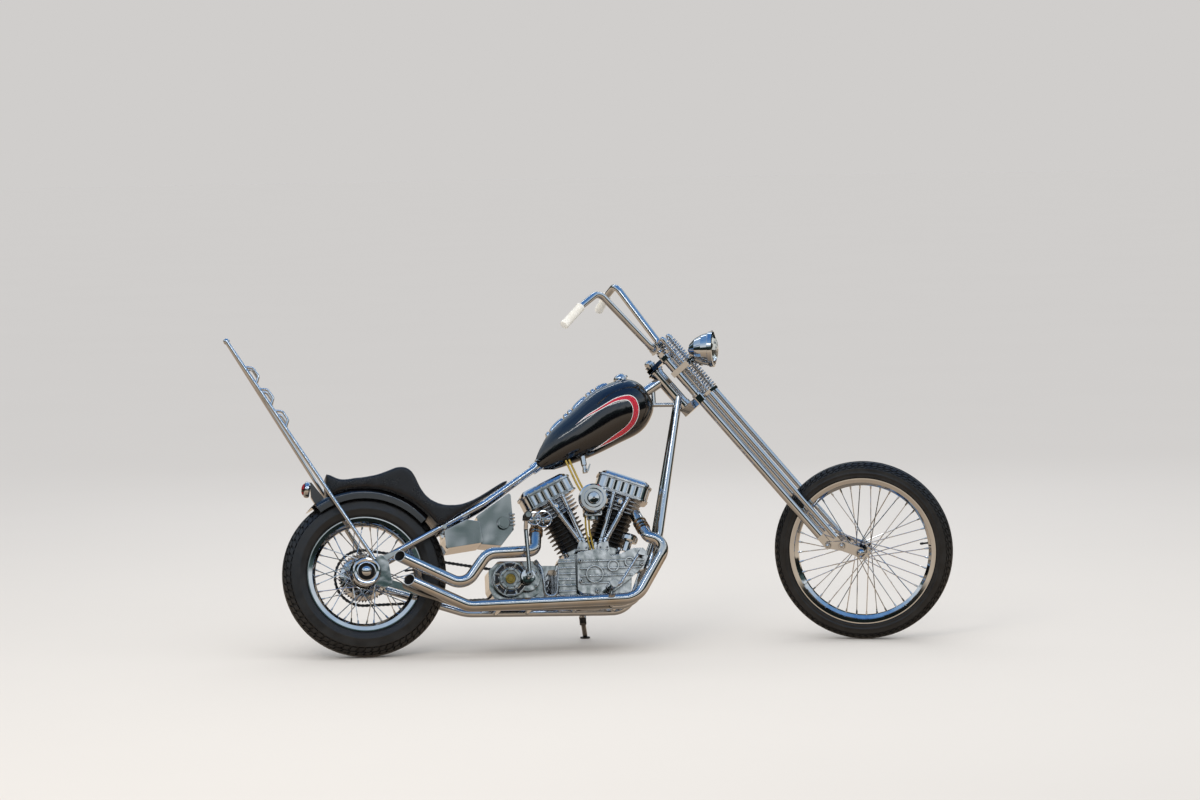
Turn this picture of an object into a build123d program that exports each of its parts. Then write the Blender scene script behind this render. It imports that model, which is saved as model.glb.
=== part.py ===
from build123d import *
import math
import os

# Chopper motorcycle with a rigid frame, a springer fork and a V-twin engine.
# Millimetres. Pieces are drawn on the upright bike: +X forward, +Y to the rider's left,
# +Z up, with the rear axle above x = 0 and the ground at z = 0. The fork is turned by the
# resting steering angle, and the whole bike is then leaned onto its side stand.

# Stance
WHEELBASE = 1920.0
LEAN_ANGLE = 14.2        # towards the left, onto the stand
STEER_ANGLE = 24.3       # resting turn of the front wheel, towards the right
RAKE = 38.6              # steering axis back from the vertical
FORK_OFFSET = 155.0      # front axle ahead of the steering axis, square to it
RUNNING_GAP = 0.3        # between seated pieces
SHAFT_GAP = 0.08         # clearance all round a turning shaft

# Wheels: tyre radius, tyre section radius, rim flange radius, rim width, bead seat radius
REAR_TYRE_R = 310.0
REAR_TYRE_SECTION = 61.0
REAR_FLANGE_R = 217.0
REAR_RIM_WIDTH = 88.0
REAR_BEAD_R = 203.0
FRONT_TYRE_R = 343.0
FRONT_TYRE_SECTION = 40.0
FRONT_FLANGE_R = 281.0
FRONT_RIM_WIDTH = 66.0
FRONT_BEAD_R = 268.0
RIM_WALL = 4.0
RIM_WELL = 13.0
SPOKES = 40
SPOKE_R = 1.9
REAR_AXLE_R = 9.5
FRONT_AXLE_R = 8.0
REAR_HUB_R = 31.0
REAR_FLANGE_HUB_R = 50.0
REAR_HUB_HALF = 46.0
FRONT_HUB_R = 20.0
FRONT_FLANGE_HUB_R = 31.0
FRONT_HUB_HALF = 36.0
BRAKE_DRUM_R = 88.0
BRAKE_DRUM_WIDTH = 20.0

# Frame
NECK_R = 25.0
NECK_BOTTOM = 866.0      # heights along the steering axis
NECK_TOP = 1040.0
BACKBONE_R = 20.0
BACKBONE_TOP = (0.0, 0.0, 997.0)     # in the fork frame
BACKBONE_LOW = (655.0, 0.0, 692.0)
STRUT_BEHIND = 120.6     # strut's corner behind and above the neck's lower end
STRUT_RISE = 6.9
STRUT_R = 8.0
MEMBER_R = 10.0
MEMBERS = ((500.0, 159.4), (620.0, 159.4), (800.0, 161.4), (950.0, 157.5))
MEMBER_TOP = MEMBERS[0][1] + MEMBER_R + RUNNING_GAP
STAY_R = 12.5
STAY_BEND = (455.0, 557.0)
STAY_FOOT = (28.0, REAR_TYRE_R + 26)
BRIDGE_X = 302.0         # cross bar a little below the middle of the upper stays
BRIDGE_SHARE = (BRIDGE_X - STAY_FOOT[0]) / (STAY_BEND[0] - STAY_FOOT[0])
BRIDGE_Z = STAY_FOOT[1] + BRIDGE_SHARE * (STAY_BEND[1] - STAY_FOOT[1]) - 5.8
RAIL_R = 14.0
RAIL_Y = 104.0
RAIL_Z = 150.0
RAIL_FRONT_X = 1012.0
PLATE_T = 8.0
PLATE_Y = 118.0          # outer face of an axle plate

# Engine
CRANK_X = 868.0
CRANK_Z = 248.0
V_ANGLE = 45.0
V_TILT = 2.7             # middle of the V back from the vertical
CASE_HALF = 72.0
BARREL_FOOT = 146.0      # distances from the crankshaft along a cylinder
BARREL_TOP = 286.0
HEAD_TOP = 350.0
COVER_TOP = 429.0
FIN_T = 3.0
HEAD_HALF = 75.0
WINDOWS = 5              # sunk windows along each side of a rocker cover
WINDOW_PITCH = 28.0
WINDOW_WIDTH = 21.0
WINDOW_DEPTH = 3.5
WINDOW_EDGE = 5.0

# Carburettor, in the middle of the V
CARBURETTOR_X = 862.0
CARBURETTOR_Z = 552.0

# Fuel tank
TUNNEL_GAP = 0.3         # between the backbone and the tank's tunnel

# Drive on the left side
CHAIN_Y = 77.3
CHAIN_W = 12.0
REAR_SPROCKET_R = 94.0
CHAIN_CLEARANCE = 6.0    # between the sprocket's teeth and the inside of the chain
FRONT_SPROCKET_R = 44.0
GEARBOX_X = 556.0
GEARBOX_Z = 262.0
PRIMARY_R = 80.0
PRIMARY_FACE = 150.0

# Fork, in its own frame: +X ahead of the steering axis, +Z up along it
REAR_LEG_X = 77.0
FRONT_LEG_X = 118.0
LEG_Y = 65.0
REAR_LEG_R = 15.9
FRONT_LEG_R = 11.0
LEG_FOOT = 150.0
LEG_TOP = 1062.0
ROCKER_PIVOT = (77.0, 104.0)
SPRUNG_PIVOT = (118.0, 68.0)
LOWER_TREE = (832.0, 862.0)
UPPER_TREE = (1044.0, 1060.0)
PERCH = (838.0, 850.0)
YOKE = (970.0, 992.0)
SPRING_ROD_TOP = 1108.0
BAR_R = 12.7
CLAMP = (68.0, 1104.0)
CLAMP_Y = 58.0
GRIP_R = 18.0

# Headlamp, on the upright bike before the fork is turned
LAMP_ROOT = (18.0, 981.0)    # bracket's foot ahead of the sprung legs, height along them
LAMP_BEHIND = 12.1       # back of the shell behind the bracket's foot
LAMP_RISE = 39.2
LAMP_DEPTH = 95.0
LAMP_R = 66.0

# Exhaust
PIPE_R = 22.0
PIPE_WALL = 2.0
FRONT_PIPE = (
    (1034, -62, 500), (1066, -146, 402), (1142, -158, 378), (1010, -165, 168), (374, -168, 160), (138, -168, 276),
)
REAR_PIPE = ((656, -62, 486), (634, -150, 362), (452, -166, 356), (362, -170, 236), (106, -170, 366))

# Fender, seat and sissy bar
FENDER_GAP = 10.0
FENDER_T = 4.0
FENDER_HALF = 72.0
SEAT_HALF = 108.0
OIL_TANK_HALF = 110.0
FENDER_FROM = 40.0       # degrees round the axle, from straight ahead
FENDER_TO = 124.0
SISSY_R = 7.5
SISSY_TOP = (-485.0, 1220.0)

# Foot pegs
PEG_X = 918.0
PEG_Z = 219.0
PEG_R = 14.0

# Side stand
STAND_PIVOT = (838.0, 122.0, 118.0)
STAND_REACH = 157.0      # foot out from the pivot, along the ground
STAND_FORWARD = 28.0
STAND_R = 9.0
STAND_FOOT_R = 19.0


def rod(start, end, radius):
    """Round bar from start to end."""
    axis = Vector(*end) - Vector(*start)
    return extrude(Plane(origin=start, z_dir=axis) * Circle(radius), axis.length)


def hex_rod(start, end, radius):
    """Hexagonal bar from start to end."""
    axis = Vector(*end) - Vector(*start)
    return extrude(Plane(origin=start, z_dir=axis) * RegularPolygon(radius, 6), axis.length)


def tube(points, radii, radius, bore=0.0):
    """Bent round tube along straight runs with one bend radius for each corner."""
    path = FilletPolyline(*points, radius=radii) if len(points) > 2 else Line(*points)
    section = Circle(radius) - Circle(bore) if bore else Circle(radius)
    return sweep(Plane(origin=path @ 0, z_dir=path % 0) * section, path=path)


def side_plate(outline, low_y, high_y, corner=0.0):
    """Flat plate whose outline is given in X and Z, between two widths."""
    face = make_face(Polyline(*outline, close=True))
    if corner:
        face = fillet(face.vertices(), corner)
    return Pos(0, high_y, 0) * extrude(Plane.XZ * face, high_y - low_y)


def turned(outline, centre=(0, 0, 0), direction=(0, 0, 1)):
    """Solid of revolution from an outline of radius and height, set on a centre line."""
    face = make_face(Polyline(*[(r, 0, z) for r, z in outline], close=True))
    return Plane(origin=centre, z_dir=direction) * revolve(face, Axis.Z)


def solids_of(*shapes):
    """Separate solids kept together in one node."""
    solids = []
    for shape in shapes:
        for item in shape if isinstance(shape, list) else [shape]:
            solids += item.solids()
    return Compound(solids)


def rim(flange_r, width, bead_r):
    """Rolled rim with two flanges, bead seats and a well, round the Y axis."""
    half = width / 2
    upper = [
        (flange_r, half), (flange_r, half - RIM_WALL), (bead_r, half - RIM_WALL - 1),
        (bead_r - 2, half * 0.52), (bead_r - RIM_WELL, half * 0.34),
    ]
    lower = [
        (bead_r - RIM_WELL - RIM_WALL, half * 0.36), (bead_r - 2 - RIM_WALL, half * 0.62),
        (bead_r - RIM_WALL, half - 2), (flange_r - RIM_WALL, half),
    ]
    section = upper + [(r, -y) for r, y in reversed(upper)]
    section += [(r, -y) for r, y in reversed(lower)] + lower
    return turned(section, direction=(0, 1, 0))


def tyre(tyre_r, section_r, flange_r, width, bead_r):
    """Tyre of round section whose beads sit between the rim's flanges."""
    ring = tyre_r - section_r
    half = width / 2 - RIM_WALL - RUNNING_GAP - 1
    carcass = Pos(ring, 0) * Circle(section_r)
    inside = Pos((flange_r + 2) / 2, 0) * Rectangle(flange_r + 2, 4 * section_r)
    bead_height = ring - bead_r
    bead = Pos(bead_r + RUNNING_GAP + bead_height / 2, 0) * Rectangle(bead_height, 2 * half)
    return Rot(-90, 0, 0) * revolve(Plane.XZ * (carcass - inside + bead), Axis.Z)


def laced_hub(hub_r, flange_hub_r, hub_half, spoke_end_r, axle_r, rim_y):
    """Spool hub with its spokes: each side's spokes leave the flange both ways and cross."""
    flange = 6.0
    hub = rod((0, -hub_half - 8, 0), (0, hub_half + 8, 0), hub_r)
    for side in (-1, 1):
        hub += rod((0, side * hub_half, 0), (0, side * (hub_half - flange), 0), flange_hub_r)
    spokes = []
    per_side = SPOKES // 2
    for side in (-1, 1):
        for k in range(per_side):
            rim_angle = 2 * math.pi * (k + (0.5 if side > 0 else 0)) / per_side
            lean = math.radians(62) * (1 if k % 2 else -1)
            seat = (flange_hub_r - 4)
            start_y = side * (hub_half - flange / 2 + (3.4 if k % 2 else -3.4))
            start = (seat * math.cos(rim_angle + lean), start_y, seat * math.sin(rim_angle + lean))
            end = (spoke_end_r * math.cos(rim_angle), side * rim_y, spoke_end_r * math.sin(rim_angle))
            spokes.append(hex_rod(start, end, SPOKE_R))
    hub = hub.fuse(*spokes)
    return hub - rod((0, -300, 0), (0, 300, 0), axle_r + SHAFT_GAP)


def rear_wheel():
    """Rear wheel round the Y axis, with its brake drum and sprocket on the left."""
    spoke_end = REAR_BEAD_R - RIM_WELL - RIM_WALL - 0.8
    hub = laced_hub(REAR_HUB_R, REAR_FLANGE_HUB_R, REAR_HUB_HALF, spoke_end, REAR_AXLE_R, 9)
    drum_y = REAR_HUB_HALF + 8
    drum = turned([
        (REAR_AXLE_R + SHAFT_GAP, drum_y), (BRAKE_DRUM_R - 14, drum_y), (BRAKE_DRUM_R, drum_y + 6),
        (BRAKE_DRUM_R, drum_y + BRAKE_DRUM_WIDTH), (REAR_AXLE_R + SHAFT_GAP, drum_y + BRAKE_DRUM_WIDTH),
    ], direction=(0, 1, 0))
    cover = turned([
        (REAR_AXLE_R + SHAFT_GAP, 0), (60, 0), (60, 8), (50, 22), (34, 30), (REAR_AXLE_R + SHAFT_GAP, 32),
    ], centre=(0, -REAR_HUB_HALF - 8 - RUNNING_GAP, 0), direction=(0, -1, 0))
    return {
        "rear_tyre": tyre(REAR_TYRE_R, REAR_TYRE_SECTION, REAR_FLANGE_R, REAR_RIM_WIDTH, REAR_BEAD_R),
        "rear_rim": rim(REAR_FLANGE_R, REAR_RIM_WIDTH, REAR_BEAD_R),
        "rear_hub": hub + Pos(0, RUNNING_GAP, 0) * cover,
        "rear_brake_drum": drum,
        "rear_sprocket": rear_sprocket(drum_y + BRAKE_DRUM_WIDTH),
    }


def rear_sprocket(low_y):
    """Toothed ring bolted to the brake drum's outer face."""
    teeth = 48
    root_r = REAR_SPROCKET_R - 6
    low_y = low_y + RUNNING_GAP
    outline = []
    for k in range(teeth):
        for part, radius in ((0.0, root_r), (0.28, root_r), (0.46, REAR_SPROCKET_R), (0.56, REAR_SPROCKET_R)):
            angle = 2 * math.pi * (k + part) / teeth
            outline.append((radius * math.cos(angle), radius * math.sin(angle)))
    ring = side_plate(outline, low_y, low_y + 6)
    return ring - rod((0, 0, 0), (0, 200, 0), 60)


def front_wheel():
    """Front wheel round the Y axis."""
    spoke_end = FRONT_BEAD_R - RIM_WELL - RIM_WALL - 0.8
    hub = laced_hub(FRONT_HUB_R, FRONT_FLANGE_HUB_R, FRONT_HUB_HALF, spoke_end, FRONT_AXLE_R, 7)
    return {
        "front_tyre": tyre(FRONT_TYRE_R, FRONT_TYRE_SECTION, FRONT_FLANGE_R, FRONT_RIM_WIDTH, FRONT_BEAD_R),
        "front_rim": rim(FRONT_FLANGE_R, FRONT_RIM_WIDTH, FRONT_BEAD_R),
        "front_hub": hub,
    }


# The fork frame: its origin is the foot of the perpendicular from the front axle
rake = math.radians(RAKE)
FORK_ORIGIN = (
    WHEELBASE - FORK_OFFSET * math.cos(rake), 0.0, FRONT_TYRE_R - FORK_OFFSET * math.sin(rake),
)
FORK = Location(FORK_ORIGIN) * Rot(0, -RAKE, 0)


def on_bike(x, y, z):
    """A point of the fork frame, on the upright bike with its wheel straight."""
    spot = FORK * Location((x, y, z))
    return tuple(spot.position)


def frame_parts():
    """Rigid frame of chromed tube with its axle plates."""
    neck_low, neck_high = on_bike(0, 0, NECK_BOTTOM), on_bike(0, 0, NECK_TOP)
    bore = rod(on_bike(0, 0, 0), on_bike(0, 0, 1300), NECK_R - 5)
    neck = rod(neck_low, neck_high, NECK_R)
    for height in (NECK_BOTTOM, NECK_TOP - 14):
        neck += rod(on_bike(0, 0, height), on_bike(0, 0, height + 14), NECK_R + 3)
    backbone = rod(on_bike(*BACKBONE_TOP), BACKBONE_LOW, BACKBONE_R) + neck
    elbow = (neck_low[0] - STRUT_BEHIND, 0, neck_low[2] + STRUT_RISE)
    backbone_high = on_bike(*BACKBONE_TOP)
    share = (elbow[0] - BACKBONE_LOW[0]) / (backbone_high[0] - BACKBONE_LOW[0])
    meeting = (elbow[0], 0, BACKBONE_LOW[2] + share * (backbone_high[2] - BACKBONE_LOW[2]))
    strut = rod(elbow, on_bike(0, 0, NECK_BOTTOM + STRUT_RISE), STRUT_R) + rod(elbow, meeting, STRUT_R)
    backbone = backbone + strut + Pos(*elbow) * Sphere(STRUT_R) - bore

    def downtube(side):
        points = [
            on_bike(0, side * 16, NECK_BOTTOM + 40), (1122.0, side * 74.0, 418.0),
            (RAIL_FRONT_X, side * RAIL_Y, RAIL_Z), (920.0, side * RAIL_Y, RAIL_Z),
        ]
        return tube(points, [140.0, 90.0], RAIL_R)

    def lower_rail(side):
        points = [
            (920.0, side * RAIL_Y, RAIL_Z), (388.0, side * RAIL_Y, RAIL_Z + 12),
            (32.0, side * (RAIL_Y + 2), REAR_TYRE_R - 27),
        ]
        return tube(points, [180.0], RAIL_R)

    def upper_stay(side):
        points = [
            (668.0, side * 13.0, 700.0), (STAY_BEND[0], side * 66.0, STAY_BEND[1]),
            (STAY_FOOT[0], side * (RAIL_Y + 3), STAY_FOOT[1]),
        ]
        return tube(points, [160.0], STAY_R)

    above_axle = [(-42, -24), (-30, 30), (60, 62), (84, 34), (96, -48), (70, -64)]
    plate = side_plate([(x, REAR_TYRE_R + z) for x, z in above_axle], -PLATE_Y, PLATE_Y, 8.0)
    plate -= side_plate([(-200, 0), (-200, 600), (300, 600), (300, 0)], -PLATE_Y + PLATE_T, PLATE_Y - PLATE_T)
    plate -= rod((0, -200, REAR_TYRE_R), (0, 200, REAR_TYRE_R), REAR_AXLE_R + RUNNING_GAP)
    keep_in = Box(3000, 2 * (PLATE_Y - PLATE_T), 3000)
    downtubes = downtube(1) + downtube(-1) - backbone - bore
    lower_rails = ((lower_rail(1) + lower_rail(-1)) & keep_in) - downtubes
    upper_stays = ((upper_stay(1) + upper_stay(-1)) & keep_in) - backbone
    members = [rod((x, -RAIL_Y, z), (x, RAIL_Y, z), MEMBER_R) - lower_rails for x, z in MEMBERS]
    bridge = rod((BRIDGE_X, -RAIL_Y, BRIDGE_Z), (BRIDGE_X, RAIL_Y, BRIDGE_Z), 8) - upper_stays
    tab_reach = REAR_TYRE_R + FENDER_GAP + FENDER_T + RUNNING_GAP
    tab_low = BRIDGE_Z - 32
    tab = [(BRIDGE_X - 60, tab_low), (BRIDGE_X + 4, tab_low), (BRIDGE_X + 4, BRIDGE_Z), (BRIDGE_X - 60, BRIDGE_Z)]
    bridge += side_plate(tab, -22, 22) - rod((0, -60, REAR_TYRE_R), (0, 60, REAR_TYRE_R), tab_reach)
    members.append(bridge)
    members.append(stand_lug() - lower_rails)
    return {
        "frame_backbone": backbone,
        "frame_downtubes": downtubes,
        "frame_lower_rails": lower_rails,
        "frame_upper_stays": upper_stays,
        "frame_cross_members": solids_of(*members),
        "axle_plates": solids_of(plate),
    }


def cylinder_axis(which):
    """Unit vectors along a cylinder and square to it, in X and Z. 0 is rear, 1 is front."""
    angle = math.radians(90 + V_TILT + (V_ANGLE / 2 if which == 0 else -V_ANGLE / 2))
    return (math.cos(angle), math.sin(angle)), (math.sin(angle), -math.cos(angle))


def cylinder_plane(which, distance):
    """Plane across a cylinder: local X is square to it in the side view, local Y is across."""
    along, square = cylinder_axis(which)
    origin = (CRANK_X + along[0] * distance, 0, CRANK_Z + along[1] * distance)
    return Plane(origin=origin, x_dir=(square[0], 0, square[1]), z_dir=(along[0], 0, along[1]))


def cylinder_point(which, distance, square_off, y):
    """A point given along a cylinder, square to it and across the bike."""
    along, square = cylinder_axis(which)
    return (
        CRANK_X + along[0] * distance + square[0] * square_off, y,
        CRANK_Z + along[1] * distance + square[1] * square_off,
    )


def block(which, low, high, length, width, corner):
    """Rounded block square to a cylinder, between two distances from the crankshaft."""
    return extrude(cylinder_plane(which, low) * RectangleRounded(length, width, corner), high - low)


def finned(which, low, high, core_r, length, width, corner, fins):
    """Round core with a stack of flat fins, the last one at the top."""
    core = rod(cylinder_point(which, low, 0, 0), cylinder_point(which, high, 0, 0), core_r)
    pitch = (high - low - FIN_T) / (fins - 1)
    opening = math.tan(math.radians(V_ANGLE / 2))
    stack = []
    for k in range(fins):
        foot = low + k * pitch
        reach = min(length, 2 * (foot * opening - 1.5))
        stack.append(block(which, foot, foot + FIN_T, reach, width, corner))
    return core.fuse(*stack)


def rocker_cover(which):
    """Rocker cover of one cylinder: lip, walls with a row of sunk windows, lip and domed pan."""
    length, width, corner = 204.0, 130.0, 30.0
    walls_low, walls_high, pan_low = HEAD_TOP + 6, COVER_TOP - 25, COVER_TOP - 18
    foot = block(which, HEAD_TOP + RUNNING_GAP, walls_low, length + 8, width + 8, corner + 3)
    walls = block(which, walls_low, walls_high, length, width, corner)
    lip = block(which, walls_high, pan_low, length + 8, width + 8, corner + 3)
    shoulder = cylinder_plane(which, pan_low) * RectangleRounded(length - 6, width - 6, corner)
    crown = cylinder_plane(which, pan_low + 11) * RectangleRounded(length - 20, width - 20, corner - 6)
    pan = extrude(shoulder, 11, taper=28) + extrude(crown, 7, taper=60)
    window_base = cylinder_plane(which, walls_low + WINDOW_EDGE)
    window_height = walls_high - walls_low - 2 * WINDOW_EDGE
    windows = []
    for side in (-1, 1):
        for k in range(WINDOWS):
            middle = (k - (WINDOWS - 1) / 2) * WINDOW_PITCH
            face = Pos(middle, side * width / 2) * Rectangle(WINDOW_WIDTH, 2 * WINDOW_DEPTH)
            windows.append(extrude(window_base * face, window_height))
    return walls.cut(*windows).fuse(foot, lip, pan)


def engine_parts():
    """V-twin engine, open to view between the frame tubes."""
    case_outline = [
        (745, 205), (790, 172), (955, 168), (1004, 210), (1010, 300), (996, 352),
        (868, 340), (780, 350), (748, 330),
    ]
    case = side_plate(case_outline, -CASE_HALF, CASE_HALF, 16.0)
    case += side_plate([(726, 196), (789, 196), (789, 334), (726, 334)], -CASE_HALF - 33, -30, 5)
    for k in range(6):
        case += side_plate([(722, 208 + 22 * k), (789, 208 + 22 * k), (789, 213 + 22 * k), (722, 213 + 22 * k)],
                           -CASE_HALF - 37, -30)
    generator = rod((1042, -CASE_HALF, 322), (1042, 60, 322), 34.5)
    generator += rod((1042, 60, 322), (1042, 66, 322), 29)
    feet = []
    for which in (0, 1):
        feet.append(block(which, 90, BARREL_FOOT, 118, 124, 20))
    case = case.fuse(*feet)
    cover_outline = [
        (794, 214), (812, 200), (880, 192), (935, 206), (1000, 252), (1054, 300), (1066, 346),
        (1052, 366), (1012, 366), (960, 344), (926, 336), (912, 362), (866, 366), (800, 356),
    ]
    cover = side_plate(cover_outline, -CASE_HALF - 40, -CASE_HALF - RUNNING_GAP, 7.0)
    ribs = []
    face = -CASE_HALF - 40
    for z, low_x, high_x in ((234, 806, 968), (262, 806, 1006), (290, 806, 1040), (318, 806, 1054)):
        ribs.append(side_plate([(low_x, z), (high_x, z), (high_x, z + 5), (low_x, z + 5)], face - 5, face + 2))
    for x, z, radius in ((861, 271, 33.6), (933, 300, 22.4), (995, 313, 18.8)):
        ring = rod((x, face + 2, z), (x, face - 8, z), radius)
        ring -= rod((x, face - 3, z), (x, face - 20, z), radius - 5)
        ribs.append(ring)
    for x, z in ((808, 322), (808, 246), (1042, 304), (1040, 350), (868, 206), (928, 222)):
        ribs.append(rod((x, face + 2, z), (x, face - 6.5, z), 8.2))
    cover = cover.fuse(*ribs)
    cylinders, heads, covers = [], [], []
    for which in (0, 1):
        cylinders.append(finned(which, BARREL_FOOT + RUNNING_GAP, BARREL_TOP, 52, 138, 132, 40, 9))
        heads.append(finned(which, BARREL_TOP + RUNNING_GAP, HEAD_TOP, 58, 168, 2 * HEAD_HALF, 34, 5))
        covers.append(rocker_cover(which))
    parts = {
        "crankcase": case,
        "generator": generator,
        "cam_cover": cover,
        "cylinders": solids_of(*cylinders),
        "cylinder_heads": solids_of(*heads),
        "rocker_covers": solids_of(*covers),
    }
    timer = rod((985, -CASE_HALF - 22, 356), (1000, -CASE_HALF - 22, 396), 15)
    timer += turned([(0, 0), (31, 0), (33, 6), (33, 20), (24, 29), (0, 33)],
                    centre=(998, -CASE_HALF - 22, 392), direction=(0.35, 0, 0.937))
    parts["timer"] = timer - cover
    tappets = solids_of(
        side_plate([(797, 363), (842, 363), (838, 392), (808, 398)], -CASE_HALF - 40, -CASE_HALF - RUNNING_GAP, 3),
        side_plate([(880, 363), (922, 363), (918, 395), (884, 390)], -CASE_HALF - 40, -CASE_HALF - RUNNING_GAP, 3),
    )
    parts["tappet_blocks"] = tappets
    parts["pushrod_tubes"] = solids_of(*[tube_ - tappets for tube_ in pushrods()])
    return parts


def pushrods():
    """Four pushrod tubes in a fan from the tappet blocks to the heads."""
    table = (
        # foot x, foot z, top x, top z
        (817, 396, 705, 566),
        (828, 394, 755, 582),
        (892, 392, 957, 586),
        (908, 394, 1009, 562),
    )
    tubes = []
    for foot_x, foot_z, top_x, top_z in table:
        foot = (foot_x, -CASE_HALF - 20, foot_z)
        top = (top_x, -HEAD_HALF - 7.5 - RUNNING_GAP, top_z)
        middle = tuple((a + b * 2) / 3 for a, b in zip(foot, top))
        tubes.append(rod(foot, middle, 9.5) + rod(middle, top, 7.5))
    return tubes


def intake_parts():
    """Carburettor between the cylinders and round air cleaner on the right."""
    x, z = CARBURETTOR_X, CARBURETTOR_Z
    body = rod((x, -60, z), (x, -150, z), 29) + rod((x, 0, z), (x, -60, z), 20)
    body += side_plate([(x - 32, z - 62), (x + 34, z - 62), (x + 34, z), (x - 32, z)], -148, -92, 7)
    body += rod((x, -120, z - 62), (x, -120, z - 76), 20)
    cleaner = turned([
        (0, 0), (48, 0), (55, 7), (55, 30), (49, 38), (38, 38), (34, 34), (25, 34), (20, 40), (0, 43),
    ], centre=(x, -150 - RUNNING_GAP, z), direction=(0, -1, 0))
    lines = []
    for shift in (0, 13):
        points = [(x - 24 + shift, -98, z - 62 - RUNNING_GAP), (x - 24 + shift, -98, z - 84),
                  (x - 20 + shift, -73, z - 114), (x - 8 + shift, -84, 366)]
        lines.append(tube(points, [14, 14], 3.5))
    return {
        "carburettor": body,
        "air_cleaner": cleaner,
        "fuel_lines": solids_of(*lines),
    }


def exhaust_parts():
    """Two separate exhaust pipes on the right, open at their ends; each is drawn from its tip."""
    bore = PIPE_R - PIPE_WALL
    front, rear = FRONT_PIPE, REAR_PIPE
    front_joint = (900, -165.5, 166.6)
    rear_joint = tuple(a + 0.4 * (b - a) for a, b in zip(rear[2], rear[3]))
    return {
        "exhaust_front_tail": tube([front[5], front[4], front_joint], [90], PIPE_R, bore),
        "exhaust_front_header": tube([front_joint, *front[3::-1]], [90, 46, 28], PIPE_R, bore),
        "exhaust_rear_tail": tube([rear[4], rear[3], rear_joint], [60], PIPE_R, bore),
        "exhaust_rear_header": tube([rear_joint, *rear[2::-1]], [60, 34], PIPE_R, bore),
    }


def cover_pockets(x, z, face):
    """Petal-shaped pockets in a ring round a cover's middle, none of them under the kick boss."""
    sink, inner, outer, half_web = 3.5, 43.5, 61.5, 3.5
    petals = []
    for k in range(1, 8):
        low, high = [2 * math.pi * (k + part) / 8 for part in (-0.5, 0.5)]
        corners = [(x, z)] + [(x + 90 * math.cos(a), z + 90 * math.sin(a)) for a in (low, (low + high) / 2, high)]
        middle = (low + high) / 2
        wedge = Pos(half_web / math.sin(math.pi / 8) * math.cos(middle), 0,
                    half_web / math.sin(math.pi / 8) * math.sin(middle)) * side_plate(corners, face - 9, face + sink)
        petals.append(wedge)
    ring = rod((x, face - 9, z), (x, face + sink, z), outer) - rod((x, face - 20, z), (x, face + 20, z), inner)
    return solids_of(*[ring & petal for petal in petals])


def primary_stadium(radius, low_y, high_y, front_low_y=None):
    """Slab with round ends over the crankshaft and the gearbox, between two widths."""
    crank_low = low_y if front_low_y is None else front_low_y
    slab = rod((CRANK_X, crank_low, CRANK_Z), (CRANK_X, high_y, CRANK_Z), radius)
    slab += rod((GEARBOX_X, low_y, GEARBOX_Z), (GEARBOX_X, high_y, GEARBOX_Z), radius)
    middle = [
        (GEARBOX_X, GEARBOX_Z - radius), (CRANK_X, CRANK_Z - radius),
        (CRANK_X, CRANK_Z + radius), (GEARBOX_X, GEARBOX_Z + radius),
    ]
    return slab + side_plate(middle, low_y, high_y)


def drive_parts():
    """Gearbox, kick starter, primary cover and drive chain."""
    gearbox = side_plate([
        (462, 232), (480, 192), (610, 186), (656, 214), (660, 292), (636, 332), (500, 336), (462, 300),
    ], -84, 66, 14.0)
    gearbox += side_plate([(486, MEMBER_TOP), (634, MEMBER_TOP), (634, 214), (486, 214)], -60, 60)
    gear_cover = rod((541, -84, 264), (541, -112, 264), 66) + rod((606, -84, 262), (606, -112, 262), 46)
    gear_cover -= cover_pockets(541, 264, -112)
    gear_cover += rod((541, -112, 264), (541, -120, 264), 40) - rod((541, -116, 264), (541, -130, 264), 32)
    kick_boss = rod((605, -112, 267), (605, -150, 267), 24)
    sprocket = rod((GEARBOX_X, 66, GEARBOX_Z), (GEARBOX_X, CHAIN_Y + 4, GEARBOX_Z), FRONT_SPROCKET_R)
    gearbox = gearbox + gear_cover + kick_boss + sprocket
    kick = rod((605, -150 - RUNNING_GAP, 267), (605, -204, 267), 13)
    kick += tube([(605, -197, 267), (598, -197, 440), (600, -214, 482)], [30], 8)
    kick += rod((600, -196, 482), (600, -292, 482), 11)
    seat_y = CASE_HALF + RUNNING_GAP
    primary = primary_stadium(PRIMARY_R, seat_y + 28, PRIMARY_FACE - 8, seat_y)
    primary += primary_stadium(PRIMARY_R - 7, PRIMARY_FACE - 9, PRIMARY_FACE)
    primary += turned([(0, -1), (46, -1), (46, 3), (40, 6), (0, 6)],
                      centre=(GEARBOX_X, PRIMARY_FACE, GEARBOX_Z), direction=(0, 1, 0))
    return {
        "gearbox": gearbox,
        "kick_lever": kick,
        "primary_cover": primary,
        "drive_chain": chain(),
    }


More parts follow.
